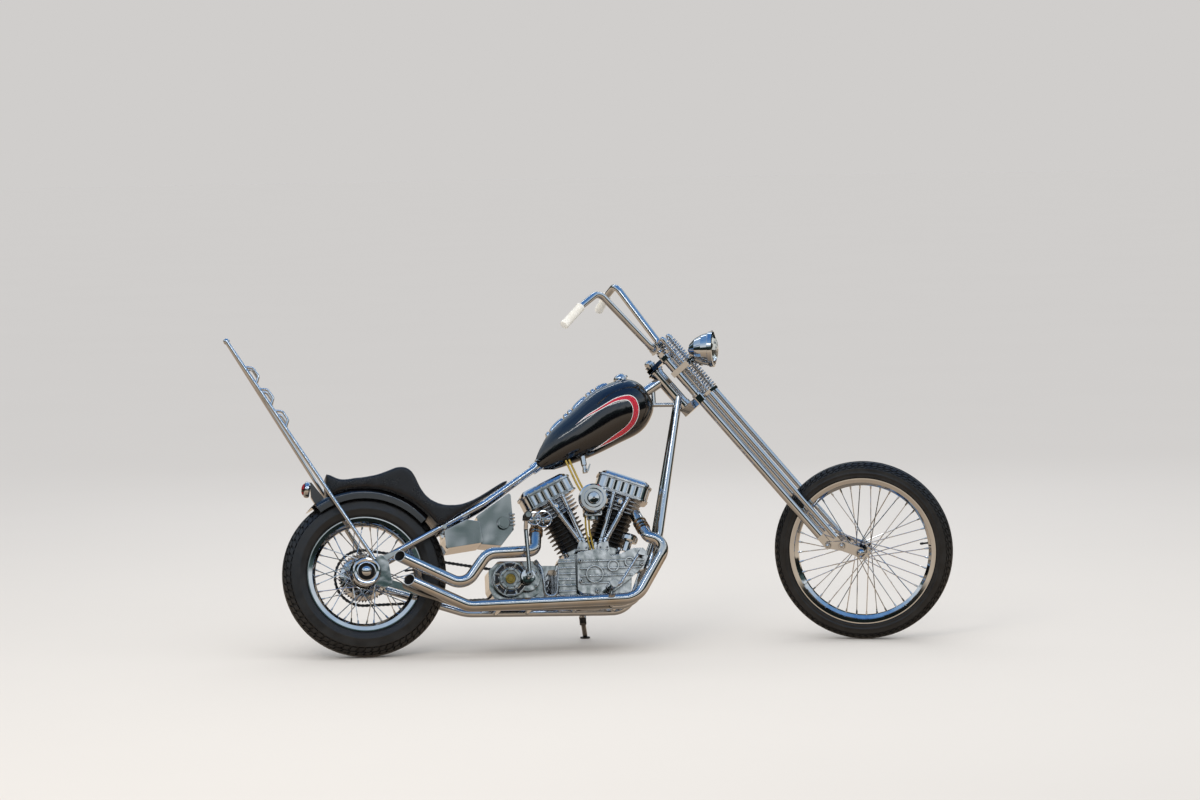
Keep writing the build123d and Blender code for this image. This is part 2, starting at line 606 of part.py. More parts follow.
def chain():
    """Drive chain as a closed loop round both sprockets."""
    big, small = REAR_SPROCKET_R + CHAIN_CLEARANCE, FRONT_SPROCKET_R + RUNNING_GAP
    height = 12.0
    dx, dz = GEARBOX_X, GEARBOX_Z - REAR_TYRE_R
    span = math.hypot(dx, dz)
    tilt = math.atan2(dz, dx)
    swing = math.acos((big - small) / span)

    def loop(grow):
        corners = []
        for centre, radius in (((0, REAR_TYRE_R), big + grow), ((dx, REAR_TYRE_R + dz), small + grow)):
            for sign in (1, -1):
                angle = tilt + sign * swing
                corners.append((centre[0] + radius * math.cos(angle), centre[1] + radius * math.sin(angle)))
        rear_disc = rod((0, CHAIN_Y - CHAIN_W / 2, REAR_TYRE_R), (0, CHAIN_Y + CHAIN_W / 2, REAR_TYRE_R), big + grow)
        front_disc = rod((dx, CHAIN_Y - CHAIN_W / 2, REAR_TYRE_R + dz),
                         (dx, CHAIN_Y + CHAIN_W / 2, REAR_TYRE_R + dz), small + grow)
        runs = side_plate([corners[0], corners[2], corners[3], corners[1]],
                          CHAIN_Y - CHAIN_W / 2, CHAIN_Y + CHAIN_W / 2)
        return rear_disc + front_disc + runs

    return loop(height) - loop(0)


def tank_part():
    """Slim teardrop fuel tank astride the backbone."""
    tail = (650.0, 0.0, 712.0)
    up = math.radians(31.5)
    along = Vector(math.cos(up), 0, math.sin(up))
    table = (
        # along the tank, top, bottom, half width
        (2, 4, -34, 12),
        (60, 34, -62, 40),
        (170, 73, -92, 74),
        (320, 99, -116, 93),
        (430, 94, -126, 95),
        (500, 68, -98, 74),
        (530, 24, -60, 34),
    )
    sections = []
    for distance, top, bottom, half in table:
        origin = Vector(*tail) + along * distance
        plane = Plane(origin=origin, x_dir=(0, 1, 0), z_dir=along)
        middle = (top + bottom) / 2
        sections.append(plane * Pos(0, -middle) * Ellipse(half, (top - bottom) / 2))
    body = loft(sections)
    backbone_run = Vector(*on_bike(*BACKBONE_TOP)) - Vector(*BACKBONE_LOW)
    tunnel_r = BACKBONE_R + TUNNEL_GAP
    tunnel_plane = Plane(origin=Vector(*BACKBONE_LOW) - backbone_run * 0.1, x_dir=(0, 1, 0), z_dir=backbone_run)
    tunnel = extrude(tunnel_plane * (Circle(tunnel_r) + Pos(0, 150) * Rectangle(2 * tunnel_r, 300)), 700)
    rise = Vector(-math.sin(up), 0, math.cos(up))
    seat_point = Vector(*tail) + along * 452 + rise * 84
    cap = turned([(0, 0), (24, 0), (24, 17), (18, 27), (0, 31)], centre=seat_point + rise * RUNNING_GAP, direction=rise)
    body -= extrude(Plane(origin=seat_point, z_dir=rise) * Circle(26), 60)
    return {"fuel_tank": body - tunnel, "tank_cap": cap}


def body_parts():
    """Rear fender, seat, oil tank and tail lamp."""
    inner = REAR_TYRE_R + FENDER_GAP
    outer = inner + FENDER_T
    drop = 40
    shell = Pos(outer - drop / 2, 0) * Rectangle(drop, 2 * FENDER_HALF)
    shell = fillet(shell.vertices().sort_by(Axis.X)[-2:], 22)
    hollow = Pos(inner - (drop + 8) / 2, 0) * Rectangle(drop + 8, 2 * (FENDER_HALF - FENDER_T))
    hollow = fillet(hollow.vertices().sort_by(Axis.X)[-2:], 18)
    section = Plane.XZ * (shell - hollow)
    arc = revolve(section, Axis.Z, FENDER_TO - FENDER_FROM)
    fender = Pos(0, 0, REAR_TYRE_R) * Rot(0, -FENDER_FROM, 0) * Rot(90, 0, 0) * arc
    seat_top = [(-136, 696), (-119, 690), (-88, 673), (-36, 672), (23, 677), (67, 685), (111, 700), (150, 709),
                (183, 695), (212, 641), (251, 583), (299, 559), (347, 555), (440, 588), (556, 656)]
    seat_low = [(562, 646), (442, 574), (300, 480), (-140, 480)]
    side = make_face([Spline(*seat_top), Polyline(seat_top[-1], *seat_low, seat_top[0])])
    plan = [(-160, 60), (-60, 78), (60, 88), (150, 98), (230, 106), (310, SEAT_HALF), (400, 90), (470, 56), (570, 34)]
    plan_face = make_face([Spline(*plan), Line(plan[-1], (plan[-1][0], -plan[-1][1])),
                           Spline(*[(x, -y) for x, y in reversed(plan)]), Line((plan[0][0], -plan[0][1]), plan[0])])
    seat = (Pos(0, 200, 0) * extrude(Plane.XZ * side, 400)) & extrude(Plane.XY * plan_face, 900)
    seat -= rod((0, -200, REAR_TYRE_R), (0, 200, REAR_TYRE_R), outer + RUNNING_GAP)
    oil = side_plate([(300, 456), (386, 496), (434, 486), (444, 406), (304, 388)], -OIL_TANK_HALF, OIL_TANK_HALF, 8)
    oil += side_plate([(428, 512), (470, 540), (560, 600), (566, 455), (516, 396), (438, 404)], -78, 78, 8)
    for k in range(4):
        oil += side_plate([(552, 472 + 13 * k), (572, 472 + 13 * k), (572, 477 + 13 * k), (552, 477 + 13 * k)], -84, 84)
    oil -= rod((0, -90, REAR_TYRE_R), (0, 90, REAR_TYRE_R), outer + RUNNING_GAP)
    oil_cap = rod((527, -78, 480), (527, -96, 480), 22) + rod((527, -96, 480), (527, -101, 480), 17)
    end_angle = math.radians(FENDER_TO)
    end_x, end_z = outer * math.cos(end_angle), REAR_TYRE_R + outer * math.sin(end_angle)
    lamp = turned([(0, 0), (27, 0), (31, 6), (31, 20), (23, 28), (0, 32)],
                  centre=(end_x - 11.8, 0, end_z + 62.4), direction=(-1, 0, 0.15))
    from_end = [(29.2, 11.4), (41.2, 27.4), (-4.8, 89.4), (-11.8, 89.4), (-8.8, 33.4), (11.2, -2.6)]
    lamp_arm = side_plate([(end_x + x, end_z + z) for x, z in from_end], -14, 14)
    lamp_arm -= rod((0, -90, REAR_TYRE_R), (0, 90, REAR_TYRE_R), outer - 1)
    lamp_arm -= lamp
    return {
        "rear_fender": fender + lamp_arm,
        "seat": seat,
        "oil_tank": oil,
        "oil_tank_cap": oil_cap,
        "tail_lamp": lamp,
    }


def sissy_bar():
    """Two rods from the axle plates to a pointed top, with bowed ornaments in front."""
    foot_y = PLATE_Y + SISSY_R + RUNNING_GAP
    foot = (33.0, 352.0)

    def leg_point(share, side, ahead=0.0):
        run = Vector(SISSY_TOP[0] - foot[0], 0, SISSY_TOP[1] - foot[1])
        front = Vector(run.Z, 0, -run.X).normalized()
        return (foot[0] + run.X * share + front.X * ahead, side * foot_y * (1 - share * 0.965),
                foot[1] + run.Z * share + front.Z * ahead)

    pieces = []
    for side in (-1, 1):
        pieces.append(rod(leg_point(0, side), leg_point(1, side), SISSY_R))
        for low in (0.60, 0.70, 0.80):
            ends = [leg_point(low, side), leg_point(low + 0.02, side, 26), leg_point(low + 0.06, side, 26),
                    leg_point(low + 0.08, side)]
            pieces.append(tube(ends, [16, 16], 5.0))
        hold = leg_point(0.268, side)
        pieces.append(rod(hold, (hold[0], side * (FENDER_HALF + RUNNING_GAP), hold[2]), 6))
    bar = pieces[0].fuse(*pieces[1:])
    tip = Sphere(12)
    return {"sissy_bar": bar + Pos(*leg_point(1, 0)) * tip}


def rear_axle():
    """Rear axle with a nut at each end."""
    reach = PLATE_Y + 22
    axle = rod((0, -reach, REAR_TYRE_R), (0, reach, REAR_TYRE_R), REAR_AXLE_R)
    for side in (-1, 1):
        start = (0, side * (PLATE_Y + RUNNING_GAP), REAR_TYRE_R)
        axle += hex_rod(start, (0, side * (PLATE_Y + 14), REAR_TYRE_R), 17)
    return {"rear_axle": axle}


def foot_parts():
    """Foot pegs on arms from the lower rails, and the brake lever ahead of the right one."""
    pegs, arms = [], []
    for side in (-1, 1):
        reach = 134 if side < 0 else 166
        corner = [(PEG_X, side * (RAIL_Y + 8), RAIL_Z), (PEG_X, side * reach, RAIL_Z), (PEG_X, side * reach, PEG_Z)]
        arms.append(tube(corner, [12], 7))
        arms.append(rod((PEG_X, side * (reach - 8), PEG_Z), (PEG_X, side * (reach + 12), PEG_Z), PEG_R + 2))
        pegs.append(rod((PEG_X, side * (reach + 12 + RUNNING_GAP), PEG_Z), (PEG_X, side * (reach + 104), PEG_Z), PEG_R))
    lever = tube([(PEG_X + 14, -138, PEG_Z + 4), (958, -138, 232), (1034, -138, 346)], [12], 4.5)
    lever += side_plate([(1024, 338), (1050, 330), (1056, 346), (1036, 358)], -150, -126, 3)
    arms.append(lever)
    return {"foot_pegs": solids_of(*pegs), "foot_controls": arms[0].fuse(arms[1], lever) + arms[2].fuse(arms[3])}


def stem_parts():
    """Steering stem, trees and rigid rear legs of the fork, in the fork frame."""
    stem = rod((0, 0, LOWER_TREE[0]), (0, 0, UPPER_TREE[1] + 12), NECK_R - 5 - SHAFT_GAP)
    outline = [(-22, 24), (-22, -24), (REAR_LEG_X - 12, -LEG_Y - 24), (REAR_LEG_X + 20, -LEG_Y - 18),
               (REAR_LEG_X + 20, LEG_Y + 18), (REAR_LEG_X - 12, LEG_Y + 24)]
    plate = fillet(make_face(Polyline(*outline, close=True)).vertices(), 8)
    legs = []
    for side in (-1, 1):
        leg = rod((REAR_LEG_X, side * LEG_Y, LEG_FOOT), (REAR_LEG_X, side * LEG_Y, LEG_TOP), REAR_LEG_R)
        foot_outline = [(REAR_LEG_X - 15, LEG_FOOT + 4), (REAR_LEG_X + 15, LEG_FOOT + 4),
                        (REAR_LEG_X + 15, 92), (REAR_LEG_X - 15, 92)]
        leg += side_plate(foot_outline, side * LEG_Y - 7, side * LEG_Y + 7, 4)
        leg += hex_rod((REAR_LEG_X, side * LEG_Y, LEG_TOP), (REAR_LEG_X, side * LEG_Y, LEG_TOP + 16), 18)
        legs.append(leg)
    holes = [rod((REAR_LEG_X, s * LEG_Y, 0), (REAR_LEG_X, s * LEG_Y, LEG_TOP - 0.1), REAR_LEG_R + 0.15) for s in (-1, 1)]
    lower = Pos(0, 0, LOWER_TREE[0]) * extrude(plate, LOWER_TREE[1] - LOWER_TREE[0])
    upper = Pos(0, 0, UPPER_TREE[0]) * extrude(plate, UPPER_TREE[1] - UPPER_TREE[0])
    for hole in holes:
        lower -= hole
        upper -= hole
    upper -= rod((0, 0, 1000), (0, 0, 1200), NECK_R - 5)
    return {"fork_trees": solids_of(stem + lower, upper), "fork_rear_legs": solids_of(*legs)}


def sprung_parts():
    """Sprung front legs, springs, yoke and rockers, in the fork frame."""
    legs, springs, rockers = [], [], []
    half = (PERCH[1] - PERCH[0]) / 2
    for side in (-1, 1):
        y = side * LEG_Y
        leg = rod((FRONT_LEG_X, y, 108), (FRONT_LEG_X, y, PERCH[0]), FRONT_LEG_R)
        leg += side_plate([(FRONT_LEG_X - 9, 116), (FRONT_LEG_X + 9, 116), (FRONT_LEG_X + 9, 56), (FRONT_LEG_X - 9, 56)],
                          y - 7, y + 7, 4)
        leg += rod((FRONT_LEG_X, y, PERCH[0]), (FRONT_LEG_X, y, SPRING_ROD_TOP), 6)
        legs.append(leg)
        for low, high, radius, turns in ((PERCH[1], YOKE[0], 18, 9), (YOKE[1], SPRING_ROD_TOP - 12, 15, 7)):
            springs.append(spring(y, low + RUNNING_GAP, high - RUNNING_GAP, radius, turns))
        outline = [(ROCKER_PIVOT[0] - 16, ROCKER_PIVOT[1] + 2), (ROCKER_PIVOT[0] + 2, ROCKER_PIVOT[1] + 16),
                   (SPRUNG_PIVOT[0] + 16, SPRUNG_PIVOT[1] + 10), (FORK_OFFSET + 18, 8), (FORK_OFFSET + 8, -17),
                   (FORK_OFFSET - 16, -8), (SPRUNG_PIVOT[0] - 14, SPRUNG_PIVOT[1] - 14)]
        inner, outer = sorted((side * (LEG_Y + 7.3), side * (LEG_Y + 15.3)))
        rocker = side_plate(outline, inner, outer, 6)
        rocker -= rod((FORK_OFFSET, -200, 0), (FORK_OFFSET, 200, 0), FRONT_AXLE_R + 0.2)
        face = side * (LEG_Y + 15.3)
        for x, z in (ROCKER_PIVOT, SPRUNG_PIVOT):
            rocker += turned([(0, 0), (11, 0), (10, 6), (5, 11), (0, 12)], centre=(x, face, z), direction=(0, side, 0))
        rockers.append(rocker)
    perch = Box(24, 2 * LEG_Y + 34, 2 * half, align=(Align.CENTER, Align.CENTER, Align.MIN))
    perch = Pos(FRONT_LEG_X, 0, PERCH[0]) * perch
    yoke_outline = [(REAR_LEG_X - 20, LEG_Y + 18), (REAR_LEG_X - 20, LEG_Y - 18), (FRONT_LEG_X - 8, 20),
                    (FRONT_LEG_X - 8, -20), (REAR_LEG_X - 20, -LEG_Y + 18), (REAR_LEG_X - 20, -LEG_Y - 18),
                    (FRONT_LEG_X + 18, -LEG_Y - 18), (FRONT_LEG_X + 18, LEG_Y + 18)]
    yoke = Pos(0, 0, YOKE[0]) * extrude(make_face(Polyline(*yoke_outline, close=True)), YOKE[1] - YOKE[0])
    for side in (-1, 1):
        yoke -= rod((REAR_LEG_X, side * LEG_Y, 900), (REAR_LEG_X, side * LEG_Y, 1040), REAR_LEG_R + 0.15)
        yoke -= rod((FRONT_LEG_X, side * LEG_Y, 900), (FRONT_LEG_X, side * LEG_Y, 1040), 6.3)
    front_legs = legs[0].fuse(legs[1], perch)
    nuts = [rod((FRONT_LEG_X, s * LEG_Y, SPRING_ROD_TOP - 12), (FRONT_LEG_X, s * LEG_Y, SPRING_ROD_TOP), 12) for s in (-1, 1)]
    return {
        "fork_front_legs": front_legs.fuse(*nuts),
        "fork_springs": solids_of(*springs),
        "spring_yoke": yoke,
        "fork_rockers": solids_of(*rockers),
    }


def spring(y, low, high, radius, turns):
    """Coil spring drawn as a stack of rings on its rod."""
    pitch = (high - low) / turns
    outline = [(6.4, low)]
    for k in range(turns):
        outline += [(radius - 5, low + k * pitch), (radius, low + (k + 0.3) * pitch),
                    (radius, low + (k + 0.6) * pitch), (radius - 5, low + (k + 0.9) * pitch)]
    outline += [(radius - 5, high), (6.4, high)]
    return turned(outline, centre=(FRONT_LEG_X, y, 0))


def front_axle():
    """Front axle through the hub with a domed nut at each end, in the fork frame."""
    reach = LEG_Y + 15.3
    axle = rod((FORK_OFFSET, -reach - 2, 0), (FORK_OFFSET, reach + 2, 0), FRONT_AXLE_R)
    for side in (-1, 1):
        axle += turned([(0, 0), (15, 0), (15, 7), (9, 15), (0, 18)],
                       centre=(FORK_OFFSET, side * (reach + RUNNING_GAP), 0), direction=(0, side, 0))
        axle += rod((FORK_OFFSET, side * (FRONT_HUB_HALF + 8 + RUNNING_GAP), 0),
                    (FORK_OFFSET, side * (LEG_Y + 7), 0), 13)
    return {"front_axle": axle}


def bar_parts():
    """Handlebar, risers and grips, in the fork frame."""
    x, z = CLAMP
    half = [(x, 0, z), (x, CLAMP_Y + 24, z), (x + 4, 172, 1402), (4, 262, 1400), (-75, 345, 1385)]
    points = [(a, -b, c) for a, b, c in reversed(half[1:])] + half[1:]
    bar = tube(points, [180, 40, 34, 34, 40, 180], BAR_R)
    grips, risers = [], []
    for side in (-1, 1):
        inner = Vector(4, side * 262, 1400)
        outer = Vector(-75, side * 345, 1385)
        along = (outer - inner).normalized()
        start, end = outer - along * 112, outer + along * 4
        grips.append(rod(tuple(start), tuple(end), GRIP_R) - bar)
        foot = (REAR_LEG_X, side * (LEG_Y - 3), LEG_TOP + 14)
        riser = rod(foot, (x, side * CLAMP_Y, z), 12)
        riser -= hex_rod((REAR_LEG_X, side * LEG_Y, LEG_TOP), (REAR_LEG_X, side * LEG_Y, LEG_TOP + 16 + RUNNING_GAP), 24)
        riser += rod((x, side * CLAMP_Y - 14, z), (x, side * CLAMP_Y + 14, z), 19)
        risers.append(riser - bar)
    return {"handlebar": bar, "risers": solids_of(*risers), "grips": solids_of(*grips)}


def lamp_parts():
    """Headlamp on the upright bike before the fork is turned."""
    reach = LAMP_DEPTH
    root = on_bike(FRONT_LEG_X + LAMP_ROOT[0], 0, LAMP_ROOT[1])
    back_x, middle_z = root[0] - LAMP_BEHIND, root[2] + LAMP_RISE
    shell = turned([
        (0, 0), (22, 8), (44, 30), (58, 58), (LAMP_R - 2, reach - 12), (LAMP_R + 2, reach - 10),
        (LAMP_R + 2, reach + 6), (LAMP_R - 6, reach + 8), (LAMP_R - 6, reach), (LAMP_R - 11, reach),
        (LAMP_R - 14, reach - 12), (43, 58), (28, 38), (12, 27), (0, 25),
    ], centre=(back_x, 0, middle_z), direction=(1, 0, 0))
    lens = turned([
        (0, 0), (LAMP_R - 6.3, 0), (LAMP_R - 6.3, 6), (44, 14), (24, 20), (0, 22),
    ], centre=(back_x + reach + RUNNING_GAP, 0, middle_z), direction=(1, 0, 0))
    stalk = rod(root, (back_x + 46, 0, middle_z - 46), 9) - shell
    behind = Box(100, 200, 200, align=(Align.MAX, Align.CENTER, Align.CENTER))
    stalk -= FORK * Pos(FRONT_LEG_X + LAMP_ROOT[0] + RUNNING_GAP, 0, LAMP_ROOT[1]) * behind
    return {"headlamp_shell": shell, "headlamp_lens": lens, "headlamp_bracket": stalk}


def lowest(centre, axis, ring_r, section_r):
    """Height of the lowest point of a leaned tyre of round section."""
    return centre.Z - ring_r * math.sqrt(1 - axis.Z ** 2) - section_r


# Placing the upright drawing: turn the fork, then lean the bike on its tyres
STEER = FORK * Rot(0, 0, -STEER_ANGLE) * FORK.inverse()
TIP = Rot(-LEAN_ANGLE, 0, 0)


def spot(location, point):
    """A point carried by a location."""
    return (location * Location(point)).position


def turned_axis(location):
    """The wheel axis carried by a location."""
    return spot(location, (0, 1, 0)) - spot(location, (0, 0, 0))


rear_low = lowest(spot(TIP, (0, 0, REAR_TYRE_R)), turned_axis(TIP), REAR_TYRE_R - REAR_TYRE_SECTION, REAR_TYRE_SECTION)
front_centre = spot(TIP * STEER, (WHEELBASE, 0, FRONT_TYRE_R))
front_low = lowest(front_centre, turned_axis(TIP * STEER), FRONT_TYRE_R - FRONT_TYRE_SECTION, FRONT_TYRE_SECTION)
PITCH = math.degrees(math.atan2(front_low - rear_low, front_centre.X))
LEVEL = Rot(0, PITCH, 0)
rear_low = lowest(spot(LEVEL * TIP, (0, 0, REAR_TYRE_R)), turned_axis(LEVEL * TIP),
                  REAR_TYRE_R - REAR_TYRE_SECTION, REAR_TYRE_SECTION)
# Ground point below the middle of the bike's length and width becomes the origin
ORIGIN_SHIFT = (-869.0, -251.5, -rear_low)
PLACE = Pos(*ORIGIN_SHIFT) * LEVEL * TIP
PLACE_STEERED = PLACE * STEER

stand_pivot = spot(PLACE, STAND_PIVOT)
stand_foot = Vector(stand_pivot.X + STAND_FORWARD, stand_pivot.Y + STAND_REACH, 0)
stand_down = (stand_foot - stand_pivot).normalized()
stand_folded = Vector(-1, -0.03, 0.02).normalized()
STAND_AXIS = stand_down.cross(stand_folded).normalized()
STAND_SWING = math.degrees(math.acos(stand_down.dot(stand_folded)))


def stand_parts():
    """Side stand in its resting place, its foot flat on the ground."""
    knuckle = rod(tuple(stand_pivot - STAND_AXIS * 11), tuple(stand_pivot + STAND_AXIS * 11), 13)
    leg = rod(tuple(stand_pivot), (stand_foot.X, stand_foot.Y, STAND_R), STAND_R)
    foot = extrude(Plane(origin=(stand_foot.X, stand_foot.Y, 0)) * Circle(STAND_FOOT_R), 5)
    leg = leg & Pos(stand_foot.X, stand_foot.Y, 500) * Box(2000, 2000, 1000)
    return {"side_stand": knuckle + leg + foot}


def stand_lug():
    """Lug welded under the left lower rail that carries the stand's pivot."""
    pivot = Vector(*STAND_PIVOT)
    base = PLACE.inverse()
    axis_up = (spot(base, tuple(stand_pivot + STAND_AXIS)) - pivot).normalized()
    top = pivot + axis_up * 12
    ear = rod(tuple(top), tuple(top + axis_up * 8), 14)
    arm = rod((STAND_PIVOT[0], RAIL_Y, RAIL_Z), tuple(top + axis_up * 4), 8)
    return ear + arm - rod(tuple(pivot - axis_up * 12), tuple(pivot + axis_up * 11.6), 14.5)


# Pieces shaped to fit round their neighbours
FITTED = (
    ("crankcase", ("cylinders",)),
    ("carburettor", ("cylinders", "cylinder_heads")),
    ("exhaust_front_header", ("cylinder_heads",)),
    ("exhaust_rear_header", ("cylinder_heads",)),
    ("sissy_bar", ("axle_plates",)),
    ("generator", ("crankcase", "cam_cover")),
    ("tappet_blocks", ("cam_cover",)),
    ("fuel_lines", ("cam_cover", "tappet_blocks", "pushrod_tubes", "cylinders")),
    ("frame_cross_members", ("frame_downtubes",)),
    ("foot_controls", ("frame_lower_rails", "frame_downtubes")),
    ("seat", ("frame_upper_stays", "frame_backbone")),
    ("oil_tank", ("frame_upper_stays", "frame_cross_members", "seat")),
)


def main():
    """Build every piece, place it and write one file for each."""
    os.makedirs("parts", exist_ok=True)
    root = {}
    for group in (frame_parts, engine_parts, intake_parts, exhaust_parts, drive_parts, tank_part,
                  body_parts, sissy_bar, rear_axle, foot_parts):
        root.update(group())
    for name, neighbours in FITTED:
        for neighbour in neighbours:
            root[name] = root[name] - solids_of(root[neighbour])
    placed = {name: PLACE * solids_of(shape) for name, shape in root.items()}
    at_rear = PLACE * Pos(0, 0, REAR_TYRE_R)
    placed.update({name: at_rear * solids_of(shape) for name, shape in rear_wheel().items()})
    at_front = PLACE_STEERED * Pos(WHEELBASE, 0, FRONT_TYRE_R)
    placed.update({name: at_front * solids_of(shape) for name, shape in front_wheel().items()})
    at_fork = PLACE_STEERED * FORK
    for group in (stem_parts, sprung_parts, front_axle, bar_parts):
        placed.update({name: at_fork * solids_of(shape) for name, shape in group().items()})
    placed.update({name: PLACE_STEERED * solids_of(shape) for name, shape in lamp_parts().items()})
    placed.update({name: solids_of(shape) for name, shape in stand_parts().items()})
    for name, shape in placed.items():
        export_step(shape, f"parts/{name}.step")


if __name__ == "__main__":
    main()
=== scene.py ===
"""Looks of a parked chopper motorcycle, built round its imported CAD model.

Pieces are drawn in millimetres on the upright bike, as the CAD is: +X forward, +Y to the
rider's left, +Z up, with the rear axle above x = 0 and the ground at z = 0. A placement
then turns the fork, leans the bike onto its stand and turns millimetres into metres.
"""

import logging
import math
from dataclasses import dataclass, field
from enum import Enum
from typing import Callable, Iterable, Sequence

import bmesh
import bpy
from mathutils import Matrix, Vector
from mathutils.bvhtree import BVHTree


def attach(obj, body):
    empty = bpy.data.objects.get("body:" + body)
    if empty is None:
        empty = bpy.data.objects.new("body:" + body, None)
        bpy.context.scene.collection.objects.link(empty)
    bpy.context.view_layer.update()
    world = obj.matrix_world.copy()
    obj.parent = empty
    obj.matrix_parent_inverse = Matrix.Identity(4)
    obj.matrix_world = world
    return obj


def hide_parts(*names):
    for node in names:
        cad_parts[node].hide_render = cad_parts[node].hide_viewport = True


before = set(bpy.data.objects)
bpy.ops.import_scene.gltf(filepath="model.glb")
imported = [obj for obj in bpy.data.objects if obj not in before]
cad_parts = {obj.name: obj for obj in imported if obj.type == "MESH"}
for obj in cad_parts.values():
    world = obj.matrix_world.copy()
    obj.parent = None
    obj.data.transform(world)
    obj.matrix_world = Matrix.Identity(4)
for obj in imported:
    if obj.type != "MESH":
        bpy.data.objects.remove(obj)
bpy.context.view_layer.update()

log = logging.getLogger("chopper")

MM = 0.001
WELD = 1e-6          # metres within which doubled points of a CAD mesh are one
SHARP_EDGE = 34.0    # degrees from which a fold between two faces shows as an edge
HEXAGON = 6
AHEAD, LEFT, RIGHT, UP = (1, 0, 0), (0, 1, 0), (0, -1, 0), (0, 0, 1)
Point = Sequence[float]
Pair = tuple[float, float]
Triple = tuple[float, float, float]
Drawn = tuple[list[Vector], list[tuple[int, ...]]]


# ---------------------------------------------------------------- placements


@dataclass(frozen=True)
class Stance:
    """How the bike stands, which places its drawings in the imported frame."""

    wheelbase: float = 1920.0
    rear_radius: float = 310.0
    front_radius: float = 343.0
    fork_offset: float = 155.0   # from the steering axis to the front axle
    rake: float = 38.6           # degrees that the steering axis leans back
    steer: float = 24.3          # degrees that the fork rests turned to the right
    lean: float = 14.2           # degrees to the left, onto the side stand
    pitch: float = -0.035353     # degrees that set both leaning tyres on the ground
    shift: Triple = (-869.0, -251.5, 1.8639)

    @property
    def bike(self) -> Matrix:
        """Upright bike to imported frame."""
        lean = Matrix.Rotation(-math.radians(self.lean), 4, "X")
        pitch = Matrix.Rotation(math.radians(self.pitch), 4, "Y")
        return Matrix.Scale(MM, 4) @ Matrix.Translation(self.shift) @ pitch @ lean

    @property
    def stem(self) -> Matrix:
        """Fork drawing to upright bike: +Z up the steering axis, +X ahead of it."""
        rake = math.radians(self.rake)
        foot = (
            self.wheelbase - self.fork_offset * math.cos(rake),
            0.0,
            self.front_radius - self.fork_offset * math.sin(rake),
        )
        return Matrix.Translation(foot) @ Matrix.Rotation(-rake, 4, "Y")

    @property
    def fork(self) -> Matrix:
        """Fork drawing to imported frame, with the resting turn of the steering."""
        return self.bike @ self.stem @ Matrix.Rotation(-math.radians(self.steer), 4, "Z")

    @property
    def steered(self) -> Matrix:
        """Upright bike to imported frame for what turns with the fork."""
        return self.fork @ self.stem.inverted()

    @property
    def rear_wheel(self) -> Matrix:
        """Rear wheel, round its own Y axis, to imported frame."""
        return self.bike @ Matrix.Translation((0, 0, self.rear_radius))

    @property
    def front_wheel(self) -> Matrix:
        """Front wheel, round its own Y axis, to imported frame."""
        return self.steered @ Matrix.Translation((self.wheelbase, 0, self.front_radius))


STANCE = Stance()


class Body(Enum):
    """CAD bodies that the scene's pieces ride on."""

    CHASSIS = "chassis"
    REAR_WHEEL = "rear_wheel"
    STEERING = "steering"
    FRONT_WHEEL = "front_wheel"


# ---------------------------------------------------------------- materials


def linear(code: str) -> tuple[float, float, float, float]:
    """Turn an sRGB hex colour into Blender's linear colour.

    Args:
        code: Six hex digits with a leading hash.

    Returns:
        Linear red, green, blue and an alpha of one.
    """
    parts = [int(code[i:i + 2], 16) / 255 for i in (1, 3, 5)]
    return (*[p / 12.92 if p <= 0.04045 else ((p + 0.055) / 1.055) ** 2.4 for p in parts], 1.0)


def add_node(
    tree: bpy.types.NodeTree, kind: str, inputs: dict | None = None, **settings: object
) -> bpy.types.Node:
    """Add one node with its settings, values and links.

    Args:
        tree: Node tree that gets the node.
        kind: Blender's type name of the node.
        inputs: Socket name or number to a value, or to an output socket to link.
        settings: Attributes of the node.

    Returns:
        The new node.
    """
    node = tree.nodes.new(kind)
    for name, value in settings.items():
        setattr(node, name, value)
    for key, value in (inputs or {}).items():
        if isinstance(value, bpy.types.NodeSocket):
            tree.links.new(value, node.inputs[key])
        else:
            node.inputs[key].default_value = value
    return node


class Grain(Enum):
    """Relief of a surface at its own small scale."""

    CAST = "sand-cast pits"
    RIPPLE = "slow waves left by buffing"
    LEATHER = "pebbles parted by creases"
    MOULDED = "fine moulded stipple"


